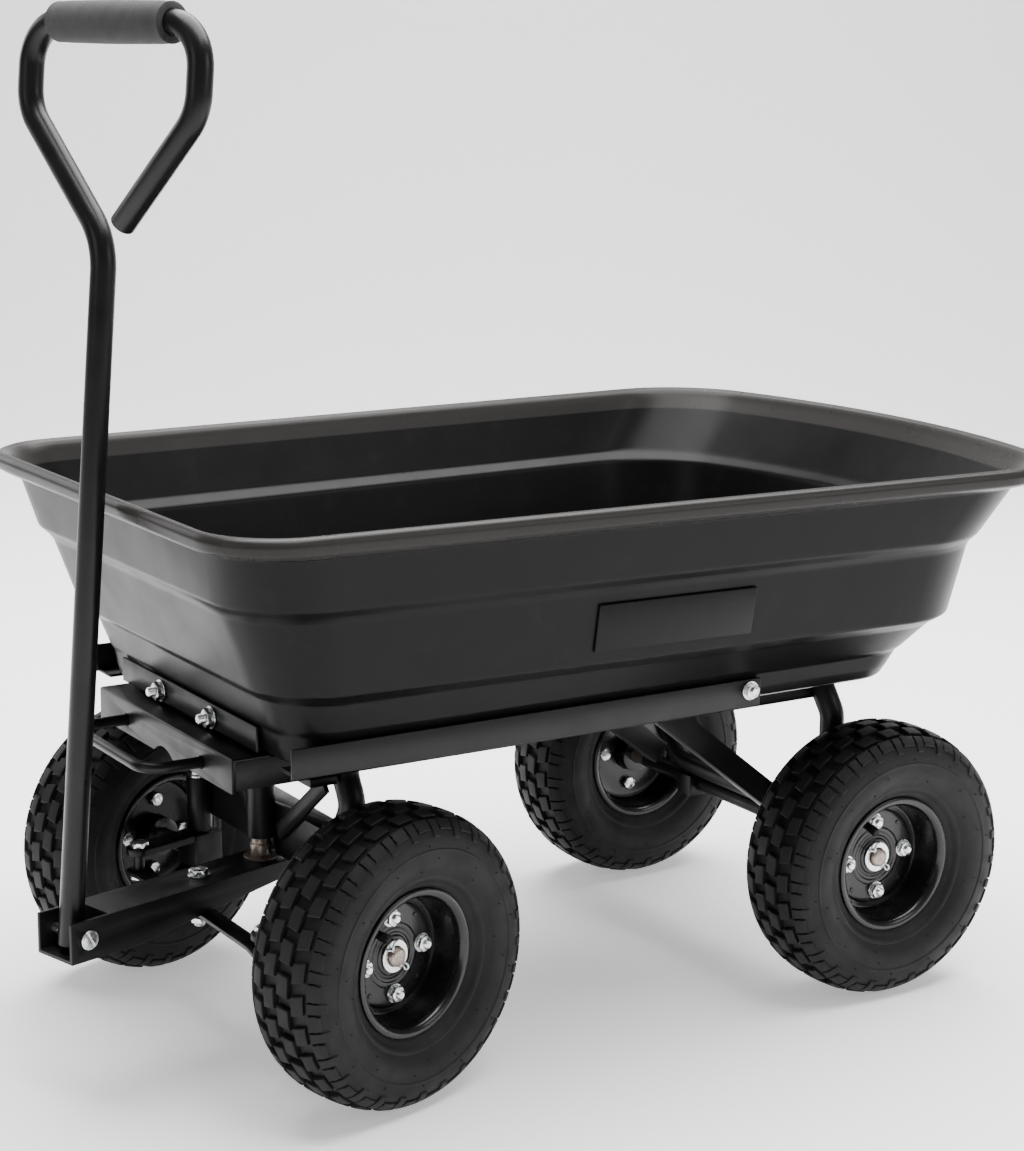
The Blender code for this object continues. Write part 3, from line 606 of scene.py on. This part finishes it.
def on_tread(theta, s, depth):
    """Point on the tread at angle theta, signed arc length s from the middle, sunk by depth."""
    a = abs(s)
    w, r = np.interp(a, S_AT, W_AT), np.interp(a, S_AT, R_AT)
    e = 0.0012
    dw = np.interp(a + e, S_AT, W_AT) - np.interp(max(a - e, 0), S_AT, W_AT)
    dr = np.interp(a + e, S_AT, R_AT) - np.interp(max(a - e, 0), S_AT, R_AT)
    length = math.hypot(dw, dr) or 1.0
    nw, nr = -dr / length, dw / length
    w, r = w - nw * depth, r - nr * depth
    w = math.copysign(w, s)
    return (w, r * math.cos(theta), r * math.sin(theta))


def block(theta, s0, s1, length, skew=0.0, depth=0.0040, notch=0.0, nu=4, nv=4, taper=0.0, bow=0.0):
    """One tread block: eased top, drafted sides, optional notch in its ends."""
    us = [-1.0, -0.93, -0.84] + [-0.84 + 1.68 * i / nu for i in range(1, nu)] + [0.84, 0.93, 1.0]
    vs = [0.0, 0.035, 0.085] + [0.085 + 0.83 * i / nv for i in range(1, nv)] + [0.915, 0.965, 1.0]
    lift = [-depth, -0.0006, 0.0]
    nu_all, nv_all = len(us), len(vs)
    verts, faces = [], []
    for i, u in enumerate(us):
        for j, v in enumerate(vs):
            edge = min(i, nu_all - 1 - i, j, nv_all - 1 - j, 2)
            half = length / 2 * (1 - taper * v)
            wave = notch * (0.5 - 0.5 * math.cos(2 * math.pi * 2 * v)) if notch else 0.0
            uu = u * half - math.copysign(wave, u) * abs(u) + skew * (v - 0.5) + bow * math.sin(math.pi * v)
            s = s0 + (s1 - s0) * v
            r = 0.126
            verts.append(on_tread(theta + uu / r, s, -lift[edge] if edge < 2 else 0.0))
    for i in range(nu_all - 1):
        for j in range(nv_all - 1):
            a = i * nv_all + j
            faces.append((a, a + 1, a + nv_all + 1, a + nv_all))
    ring = [i * nv_all for i in range(nu_all)] + [(nu_all - 1) * nv_all + j for j in range(1, nv_all)] \
        + [i * nv_all + nv_all - 1 for i in range(nu_all - 2, -1, -1)] + [j for j in range(nv_all - 2, 0, -1)]
    faces.append(tuple(ring))
    return verts, faces


def tyre_shape():
    shape = Shape()
    half = [(0.0608, 0.0200), (0.0606, 0.0262), (0.0622, 0.0288), (0.0650, 0.0300), (0.0672, 0.0318),
            (0.0690, 0.0330), (0.0712, 0.0345), (0.0726, 0.0368), (0.0752, 0.0382), (0.0768, 0.0381),
            (0.0786, 0.0392), (0.0820, 0.0416), (0.0860, 0.0434), (0.0905, 0.0444), (0.0950, 0.0447),
            (0.0985, 0.0445), (0.0993, 0.0451), (0.1008, 0.0451), (0.1016, 0.0443), (0.1060, 0.0436),
            (0.1110, 0.0424), (0.1152, 0.0404), (0.1184, 0.0374), (0.1204, 0.0342), (0.1221, 0.0302),
            (0.1232, 0.0248), (0.1240, 0.0180), (0.1244, 0.0100)]
    profile = half + [(0.1246, 0.0)] + [(r, -w) for r, w in half[::-1]]
    inner = [(0.0700, -0.0240), (0.0880, -0.0370), (0.1040, -0.0370), (0.1170, -0.0240), (0.1205, 0.0),
             (0.1170, 0.0240), (0.1040, 0.0370), (0.0880, 0.0370), (0.0700, 0.0240)]
    shape.add(lathe(profile + inner, 120, ring=True), ALONG_X)
    pitches = 29
    step = 2 * math.pi / pitches
    for k in range(pitches):
        a = k * step
        shape.add(block(a, 0.0013, 0.0146, 0.0188, skew=0.0022, depth=0.0058))
        shape.add(block(a + step / 2, -0.0013, -0.0146, 0.0188, skew=0.0022, depth=0.0058))
        shape.add(block(a + step * 0.50, 0.0176, 0.0302, 0.0176, skew=-0.0026, depth=0.0056))
        shape.add(block(a, -0.0176, -0.0302, 0.0176, skew=-0.0026, depth=0.0056))
        for side, turn in ((1, 0.04), (-1, 0.54)):
            shape.add(block(a + step * turn, side * 0.0326, side * 0.0452, 0.0178, skew=0.0012, depth=0.0048,
                            notch=0.0010, nv=8, taper=0.08))
            shape.add(block(a + step * (turn + 0.5), side * 0.0326, side * 0.0520, 0.0108, skew=0.0006, depth=0.0028,
                            nv=6, taper=0.22))
    # ladder ribs on the shoulder and vent nubs on the walls
    for side in (-1, 1):
        for k in range(pitches * 2):
            a = (k + 0.30) * step / 2
            rib = rbox((-0.0006, -0.0006, 0.1035), (0.0006, 0.0006, 0.1085), 0.0003, 1)
            place = R(a, 4, "X") @ T((side * 0.0438, 0, 0)) @ R(-side * math.radians(12), 4, "Y") @ T((0, 0, 0))
            shape.add(rib, place)
        for radius, count, w in ((0.0835, 8, 0.0424), (0.0930, 12, 0.0446), (0.1045, 14, 0.0440)):
            for k in range(count):
                a = (k + 0.37 * (radius * 1000 % 3)) * 2 * math.pi / count
                nub = lathe([(0, -0.0008), (0.00055, -0.0008), (0.0005, 0.0011), (0.0003, 0.0014), (0, 0.0014)], 7)
                shape.add(nub, R(a, 4, "X") @ T((side * w, 0, radius)) @ R(side * math.pi / 2, 4, "Y"))
    return shape


RIM_FACE = [(0.0500, 0.0010), (0.0515, 0.0014), (0.0526, 0.0036), (0.0532, 0.0080), (0.0540, 0.0140), (0.0547, 0.0200),
            (0.0553, 0.0246), (0.0556, 0.0272), (0.0566, 0.0296), (0.0584, 0.0314), (0.0606, 0.0324), (0.0628, 0.0326),
            (0.0642, 0.0319), (0.0646, 0.0306), (0.0640, 0.0294), (0.0622, 0.0289), (0.0606, 0.0278), (0.0602, 0.0250)]
RIM_BACK = [(r, -w) for r, w in RIM_FACE[::-1]]
RIM_BACK[-1], RIM_BACK[-2] = (0.0500, -0.0040), (0.0512, -0.0044)
LUG_R = 0.0345


def wheel(tag, body, M, s, spin, carrier, valve_at):
    """All that turns on one wheel; s is the side its hub faces."""
    out = ALONG_X if s > 0 else R(-math.pi / 2, 4, "Y")      # the lathe axis points out of the hub
    tyre = tyre_shape()
    tyre.make("tyre_tread_" + tag, body, [TYRE], M @ R(spin, 4, "X"), 32, ["tyre_" + tag], "tyre_rubber")

    rim = Shape()
    disc = [(0.0200, 0.0010), (0.0320, 0.0010), (0.0400, 0.0014), (0.0460, 0.0016)]
    back = [(0.0460, -0.0034), (0.0400, -0.0036), (0.0320, -0.0040), (0.0200, -0.0040)]
    rim.add(lathe(disc + RIM_FACE + RIM_BACK + back, 96, ring=True), out)
    rim.make("rim_shell_" + tag, body, [RIM], M, 35, ["rim_" + tag], "rim_enamel")

    # hub plate with a pressed ring, a boss, small rivets and the bearing collar
    hub = Shape()
    face = soften([(0.0170, 0.0036), (0.0196, 0.0036), (0.0206, 0.0030), (0.0232, 0.0030), (0.0242, 0.0038),
                   (0.0276, 0.0038), (0.0286, 0.0031), (0.0420, 0.0031), (0.0452, 0.0028), (0.0465, 0.0016)], 0.0008, 2)
    hub.add(lathe([(0.0170, 0.0012)] + face + [(0.0465, 0.0013), (0.0300, 0.0012)], 72, ring=True), out)
    boss = soften([(0.0092, 0.0030), (0.0092, 0.0047), (0.0104, 0.0050), (0.0150, 0.0050), (0.0172, 0.0046),
                   (0.0182, 0.0036), (0.0186, 0.0016), (0.0186, -0.0200), (0.0092, -0.0200)], 0.0006, 2)
    hub.add(lathe(boss, 56, ring=True), out)
    for k in range(4):
        a = math.radians(48 + 90 * k)
        hub.add(lathe([(0, 0.0020), (0.0021, 0.0020), (0.0021, 0.0036), (0.0015, 0.0040), (0, 0.0038)], 16), out @ R(a, 4, "Z") @ T((0.0395, 0, 0)))
    hub.make("hub_plate_" + tag, body, [RIM], M, 35, ["hub_" + tag], "rim_enamel")

    lugs = Shape()
    for k in range(4):
        a = math.radians(4 + 90 * k)
        spot = out @ R(a, 4, "Z") @ T((-LUG_R if s > 0 else LUG_R, 0, 0.0031))
        lugs.add(washer(0.0041, 0.0084, 0.0, 0.0012, 28), spot)
        lugs.add(hexagon(0.0074, 0.0013, 0.0062, 0.0009, 0.35 + k * 0.8), spot)
        lugs.add(threads(0.0039, 0.0060, 0.0094), spot)
        lugs.add(hexagon(0.0070, -0.0130, -0.0082, 0.0008, k * 0.5), spot)
    lugs.make("lug_bolts_" + tag, body, [ZINC], M, 35, slot="zinc_plate")

    seal = Shape()
    seal.add(washer(0.0090, 0.0144, 0.0052, 0.0072, 48), out)
    seal.make("hub_washer_" + tag, body, [ZINC], M, 35, ["axle_washer_" + tag], "zinc_plate")

    # valve stem leaning out of the barrel
    stem = Shape()
    a = math.radians(valve_at)
    stem.add(lathe(soften([(0, -0.0160), (0.0058, -0.0160), (0.0056, -0.0100), (0.0040, -0.0060), (0.0037, 0.0080),
                           (0.0043, 0.0090), (0.0043, 0.0155), (0.0036, 0.0170), (0, 0.0170)], 0.0010, 2), 22), None)
    stem.make("valve_stem_" + tag, body, [STEM],
              M @ out @ R(a, 4, "Z") @ T((0.0438, 0, 0.0115)) @ R(math.radians(-24), 4, "Y"), 35, slot="tyre_rubber")

    # the split pin through the end of the axle; the chamfered axle end itself comes from axle_end
    pin = Shape()
    pin.add(sweep(bent([(0.0120, 0.0012, 0.0098), (-0.0105, 0.0012, 0.0098), (-0.0125, 0.0060, 0.0094),
                        (-0.0100, 0.0112, 0.0086)], (0.003, 0.003), 4), 0.00095, 10))
    pin.add(sweep(bent([(0.0120, -0.0006, 0.0098), (-0.0105, -0.0006, 0.0098), (-0.0150, -0.0040, 0.0100)],
                       (0.003,), 4), 0.00095, 10))
    ring = [(0.0120 + 0.0030 * (1 - math.cos(t)) , 0.0003 + 0.0022 * math.sin(t), 0.0098)
            for t in (math.radians(20 + 320 * i / 14) for i in range(15))]
    pin.add(sweep(ring, 0.00095, 10))
    pin.make("split_pin_" + tag, carrier, [ZINC], M @ out @ R(math.radians(40), 4, "Z"), 40, slot="zinc_plate")


def axle_end(length, start=0.0):
    return [(0, length), (0.0060, length), (0.0071, length - 0.0004), (0.0083, length - 0.0016), (0.0083, start), (0, start)]


for side, s in SIDES:
    M = CART @ T((s * WHEEL_X, REAR_Y, WHEEL_Z))
    wheel("rear_" + side, "wheel_rear_" + side, M, s, 0.9 + s * 0.4, "chassis", 210 if s > 0 else 60)
    M = knuckle_at(s) @ T((s * SPINDLE, 0, WHEEL_Z))
    wheel("front_" + side, "wheel_front_" + side, M, s, 0.2 + s * 0.7, "knuckle_" + side, 225 if s > 0 else 100)

axle = Shape()
for s in (-1, 1):
    axle.add(lathe(axle_end(0.2175), 36), CART @ T((0, REAR_Y, WHEEL_Z)) @ (ALONG_X if s > 0 else R(-math.pi / 2, 4, "Y")))
axle.make("axle_ends_rear", "chassis", [STEEL], None, 35, ["rear_axle"], "plain_steel")
Shape().add(lathe([(0, -0.1660), (0.0080, -0.1660), (0.0087, -0.1650), (0.0087, 0.1650), (0.0080, 0.1660), (0, 0.1660)], 36),
            CART @ T((0, REAR_Y, WHEEL_Z)) @ ALONG_X).make("axle_bar_rear", "chassis", [COAT], None, 35, slot="powder_coat")

# ------------------------------------------------------------------ knuckles, links, king pins
for side, s in SIDES:
    K = knuckle_at(s)
    out = ALONG_X if s > 0 else R(-math.pi / 2, 4, "Y")
    steel = Shape()
    steel.add(lathe(axle_end(SPINDLE + 0.0125, 0.0130), 36), T((0, 0, WHEEL_Z)) @ out)
    steel.make("spindle_" + side, "knuckle_" + side, [STEEL], K, 35, slot="plain_steel")
    arm = Shape()
    arm.add(rbox((-0.0140, -0.0160, 0.1180), (0.0140, 0.0160, 0.1496), 0.0016))
    arm.add(lathe([(0.0060, 0.1385), (0.0118, 0.1385), (0.0118, 0.1497), (0.0060, 0.1497)], 32, ring=True))
    arm.add(lathe(soften([(0, 0.0120), (0.0122, 0.0120), (0.0122, 0.0170), (0.0100, 0.0225), (0.0088, 0.0270), (0, 0.0270)], 0.001, 2), 32),
            T((0, 0, WHEEL_Z)) @ out)
    eye = [(0.0120 * math.cos(a), -LINK_R + 0.0120 * math.sin(a)) for a in (math.pi + math.pi * i / 14 for i in range(15))]
    arm.add(plate(eye + [(0.0120, -0.0100), (-0.0120, -0.0100)], 0.1430, 0.1496, 0.0008))
    arm.add(lathe([(0, 0.1195), (0.0042, 0.1195), (0.0050, 0.1203), (0.0050, 0.1440), (0, 0.1440)], 24), T((0, -LINK_R, 0)))
    arm.make("knuckle_block_" + side, "knuckle_" + side, [COAT], K, 35, ["knuckle_" + side], "powder_coat")
    nut = Shape()
    nut.add(hexagon(0.0092, 0.1194, 0.1236 if s > 0 else 0.1228, 0.0009), T((0, -LINK_R, 0)))
    nut.add(hexagon(0.0088, 0.1496, 0.1548, 0.0009, 0.3), T((0, -LINK_R, 0)))
    nut.make("stud_nuts_" + side, "knuckle_" + side, [ZINC], K, 35, slot="zinc_plate")
    pin = Shape()
    pin.add(washer(0.0056, 0.0112, 0.2034, 0.2050, 32))
    pin.add(hexagon(0.0102, 0.2050, 0.2102, 0.0010, 0.2))
    pin.add(threads(0.0054, 0.2095, 0.2140, 0.0015))
    pin.add(lathe([(0, 0.1400), (0.0056, 0.1400), (0.0056, 0.2050), (0, 0.2050)], 28))
    pin.make("king_pin_bolt_" + side, "knuckle_" + side, [ZINC], K, 35, ["kingpin_" + side], "zinc_plate")

    low = 0.1285 if side == "right" else 0.1240
    L = TONGUE @ T((0, -LINK_R, 0)) @ R(-STEER, 4, "Z")
    n = 14
    far = [(s * KING_X + s * 0.0120 * math.cos(a), 0.0120 * math.sin(a)) for a in (-math.pi / 2 + math.pi * i / n for i in range(n + 1))]
    near = [(-s * 0.0110 * math.cos(a), -0.0110 * math.sin(a)) for a in (-math.pi / 2 + math.pi * i / n for i in range(n + 1))]
    waist = [(s * 0.018, 0.0090), (s * (KING_X - 0.018), 0.0090)]
    loop = far + [waist[1], waist[0]] + near + [(s * 0.018, -0.0090), (s * (KING_X - 0.018), -0.0090)]
    link = Shape().add(plate(loop, low, low + 0.0038, 0.0007))
    link.make("steering_bar_" + side, "link_" + side, [COAT], L, 35, ["steering_link_" + side], "powder_coat")

# ------------------------------------------------------------------ tongue fasteners
bolt = Shape()
bolt.add(threads(0.0058, 0.1395, 0.1500, 0.0016), T((0, 0, 0.2895)) @ R(math.pi, 4, "X"))
bolt.add(hexagon(0.0104, 0.1480, 0.1566, 0.0010))
bolt.make("king_bolt_nut", "tongue", [ZINC], TONGUE, 35, slot="zinc_plate")
collar = Shape()
collar.add(washer(0.0060, 0.0158, 0.1606, 0.1630, 40))
collar.add(lathe(soften([(0, 0.1628), (0.0098, 0.1628), (0.0098, 0.1740), (0.0088, 0.1752), (0.0088, 0.1796), (0, 0.1796)], 0.0008, 2), 40))
collar.make("king_spacer", "tongue", [STEEL], TONGUE, 35, ["king_bolt"], "plain_steel")
bolt = Shape()
bolt.add(washer(0.0050, 0.0098, 0.1606, 0.1620, 32))
bolt.add(hexagon(0.0086, 0.1620, 0.1672, 0.0009, 0.4))
bolt.add(lathe([(0, 0.1230), (0.0050, 0.1230), (0.0050, 0.1630), (0, 0.1630)], 24))
bolt.add(hexagon(0.0086, 0.1180, 0.1228, 0.0009))
bolt.add(threads(0.0048, 0.0, 0.0042, 0.0012), T((0, 0, 0.1184)) @ R(math.pi, 4, "X"))
bolt.make("link_pivot_bolt", "tongue", [ZINC], TONGUE @ T((0, -LINK_R, 0)), 35, ["link_bolt"], "zinc_plate")

# cross bolt of the handle: slotted cheese head on one side, nut on the other
cross = Shape()
for M in (T((0, -HANDLE_R_AT, HANDLE_Z)) @ ALONG_X,):
    cross.add(lathe([(0, -0.0270), (0.0046, -0.0270), (0.0046, 0.0240), (0, 0.0240)], 28), M)
    head = Shape()
    n = 40
    profile = ((0.0078, 0.0239), (0.0082, 0.0244), (0.0082, 0.0262), (0.0074, 0.0276), (0.0050, 0.0283))
    loops = [[(r * math.cos(2 * math.pi * i / n), r * math.sin(2 * math.pi * i / n), z) for i in range(n)] for r, z in profile]
    # the head in two halves leaves the screwdriver slot between them
    for sign in (-1, 1):
        loop = [(0.0075 * math.cos(a), sign * max(0.0008, 0.0075 * math.sin(a))) for a in (math.pi * i / 24 for i in range(25))]
        cross.add(plate(loop if sign > 0 else loop[::-1], 0.0262, 0.0279, 0.0004), M @ R(0.5, 4, "Z"))
    cross.add(lathe([(0, 0.0238), (0.0080, 0.0238), (0.0084, 0.0243), (0.0084, 0.0262), (0.0078, 0.0266), (0, 0.0266)], 40), M)
    cross.add(hexagon(0.0082, 0.0238, 0.0288, 0.0009), M @ R(math.pi, 4, "X"))
cross.make("handle_cross_bolt", "tongue", [ZINC], TONGUE, 35, ["handle_bolt"], "zinc_plate")

# ------------------------------------------------------------------ handle
loop = bent([(0, 0, -0.0105), (0, 0, 0.5800), (-0.1080, 0, 0.6840), (-0.1080, 0, 0.7540),
             (0.1080, 0, 0.7540), (0.1080, 0, 0.6840), (0.0215, 0, 0.5940)],
            (0.060, 0.042, 0.036, 0.036, 0.042), 12)
Shape().add(sweep(loop, TUBE_R, 36)).make("handle_steel", "handle", [DARK_TUBE], HANDLE, 50, ["handle_tube"], "powder_coat")
sleeve = []
for i in range(41):
    x = -0.0722 + 0.1444 * i / 40
    r = 0.0171 + 0.0003 * math.cos(x * 40) - 0.0004 * math.exp(-((abs(x) - 0.066) / 0.004) ** 2)
    sleeve.append((r, x))
sleeve = [(0.0110, -0.0722), (0.0150, -0.0722), (0.0166, -0.0712)] + sleeve[2:-2] + [(0.0166, 0.0712), (0.0150, 0.0722), (0.0110, 0.0722)]
Shape().add(lathe(sleeve, 64, ring=True)).make("grip_sleeve", "handle", [FOAM], HANDLE @ T((0, 0, 0.7540)) @ ALONG_X, 50,
                                              ["handle_grip"], "grip_foam")

# ------------------------------------------------------------------ release rod, hoop and legs
REL = CART @ T((0, -0.366, 0.2830))
rod = bent([(-0.078, 0.0470, 0), (-0.078, -0.0510, 0), (0.078, -0.0510, 0), (0.078, 0.0470, 0)], (0.022, 0.022), 10)
Shape().add(sweep(rod, ROD_R, 24)).make("release_rod", "release", [DARK_TUBE], REL, 50, ["release_handle"], "powder_coat")
hoop = bent([(-0.1340, 0.2600, 0.2835), (-0.1450, 0.2660, 0.2560), (-0.1450, 0.2660, 0.2000), (-0.1000, 0.2660, 0.1505),
             (0.1000, 0.2660, 0.1505), (0.1450, 0.2660, 0.2000), (0.1450, 0.2660, 0.2560), (0.1340, 0.2600, 0.2835)],
            (0.030, 0.045, 0.045, 0.045, 0.045, 0.030), 12)
Shape().add(sweep(hoop, HOOP_R, 36)).make("hoop_tube", "chassis", [COAT], CART, 50, ["rear_hoop"], "powder_coat")
for side, s in SIDES:
    top, foot = 0.2702, 0.2123
    path = [(s * (0.1200 + 0.0115 * math.sin(math.pi * i / 20) ** 2), -0.2500, top - (top - foot) * i / 20) for i in range(21)]
    Shape().add(sweep(path, HOOP_R, 36)).make("leg_tube_" + side, "chassis", [COAT], CART, 50, ["front_leg_" + side], "powder_coat")

# ------------------------------------------------------------------ plates and bolts of the tub
for side, s in SIDES:
    lo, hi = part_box("name_panel_" + side)
    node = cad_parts["name_panel_" + side]
    keep("name_panel_" + side, PANEL, 0.0009)
    bolt = Shape()
    M = CART @ T((s * 0.0066, 0, 0)) @ T((s * 0.2000, 0.1180, 0.3120)) @ (ALONG_X if s > 0 else R(-math.pi / 2, 4, "Y"))
    bolt.add(washer(0.0040, 0.0088, 0.0002, 0.0014, 36), M)
    bolt.add(hexagon(0.0074, 0.0014, 0.0056, 0.0009, 0.3), M)
    bolt.add(threads(0.0044, 0.0050, 0.0082), M)
    bolt.make("rail_nut_" + side, "tub", [ZINC], None, 35, ["rail_bolt_" + side], "zinc_plate")
    bolt = Shape()
    M = CART @ T((s * 0.0520, -0.3434, 0.3130)) @ R(math.pi / 2, 4, "X")
    bolt.add(washer(0.0040, 0.0100, 0.0002, 0.0016, 36), M)
    bolt.add(hexagon(0.0086, 0.0016, 0.0070, 0.0009, 0.2), M)
    bolt.add(threads(0.0044, 0.0066, 0.0136), M)
    bolt.make("strike_nut_" + side, "tub", [ZINC], None, 35, ["strike_bolt_" + side], "zinc_plate")

for name in ("strike_plate", "latch_catch", "bed_rail_left", "bed_rail_right", "hinge_lug_left", "hinge_lug_right",
             "frame_rail_left", "frame_rail_right", "rear_strut_left", "rear_strut_right", "axle_saddle_left",
             "axle_saddle_right", "front_brace_left", "front_brace_right", "rear_cross_member", "king_plate",
             "front_axle_beam"):
    keep(name, COAT, 0.0007)
keep("latch_bracket", COAT, 0.0012, 3)
keep("tongue_beam", COAT, 0.0016, 3)
keep("tip_pin", ZINC, 0.0004)

# ------------------------------------------------------------------ floor, light, camera
floor_mat = Nodes("floor_paper")
floor_mat.set(Base_Color=floor_mat.mix(floor_mat.noise(3, 4), (0.93, 0.93, 0.93), (0.95, 0.95, 0.95)), Roughness=0.85)
floor_mat.bsdf.inputs["Specular IOR Level"].default_value = 0.1
floor_mat.bsdf.inputs["Emission Color"].default_value = (1, 1, 1, 1)
floor_mat.bsdf.inputs["Emission Strength"].default_value = 0.45
sweep_line = [(-9.0, 0.0)] + [(3.0, 0.0)] + [(3.0 + 1.5 * math.sin(a), 1.5 - 1.5 * math.cos(a))
                                               for a in (math.pi / 2 * i / 16 for i in range(1, 17))] + [(4.5, 5.0)]
data = bpy.data.meshes.new("floor")
verts, faces = [], []
for u, z in sweep_line:
    verts += [(-7.0, u, z), (7.0, u, z)]
for i in range(len(sweep_line) - 1):
    faces.append((2 * i, 2 * i + 1, 2 * i + 3, 2 * i + 2))
data.from_pydata(verts, [], faces)
data.materials.append(floor_mat.mat)
data.shade_smooth()
floor = bpy.data.objects.new("floor", data)
floor.rotation_euler = (0, 0, math.radians(57.8))
bpy.context.scene.collection.objects.link(floor)

world = bpy.data.worlds.new("studio")
bpy.context.scene.world = world
world.use_nodes = True
world.node_tree.nodes["Background"].inputs["Color"].default_value = (1, 1, 1, 1)
world.node_tree.nodes["Background"].inputs["Strength"].default_value = 0.20


def area(name, loc, target, size, power, size_y=None):
    light = bpy.data.lights.new(name, "AREA")
    light.shape = "RECTANGLE"
    light.size, light.size_y = size, size_y or size
    light.energy = power
    obj = bpy.data.objects.new(name, light)
    obj.location = loc
    obj.rotation_euler = (Vector(target) - Vector(loc)).to_track_quat("-Z", "Y").to_euler()
    bpy.context.scene.collection.objects.link(obj)


area("key_top", (-0.3, 0.5, 3.0), (0, 0, 0.0), 3.4, 420)
area("side_soft", (2.6, 1.6, 1.6), (0, 0, 0.3), 1.3, 20)
area("front_soft", (0.4, -3.0, 1.5), (0, 0, 0.3), 1.2, 9)
area("left_soft", (-2.4, -1.2, 1.3), (0, 0, 0.4), 1.2, 12)

AZ, EL, ROLL = math.radians(57.83), math.radians(12.165), math.radians(0.64)
back = Vector((math.sin(AZ) * math.cos(EL), -math.cos(AZ) * math.cos(EL), math.sin(EL)))
right = Vector((math.cos(AZ), math.sin(AZ), 0))
up = back.cross(right)
right, up = right * math.cos(ROLL) + up * math.sin(ROLL), up * math.cos(ROLL) - right * math.sin(ROLL)
camera = bpy.data.cameras.new("camera")
camera.sensor_fit = "HORIZONTAL"
camera.sensor_width = 36.0
camera.lens = 87.65
camera.clip_start = 0.05
eye = bpy.data.objects.new("camera", camera)
eye.matrix_world = Matrix(((right.x, up.x, back.x, 1.93718), (right.y, up.y, back.y, -1.22604 + Y0),
                           (right.z, up.z, back.z, 0.88582), (0, 0, 0, 1)))
bpy.context.scene.collection.objects.link(eye)
bpy.context.scene.camera = eye
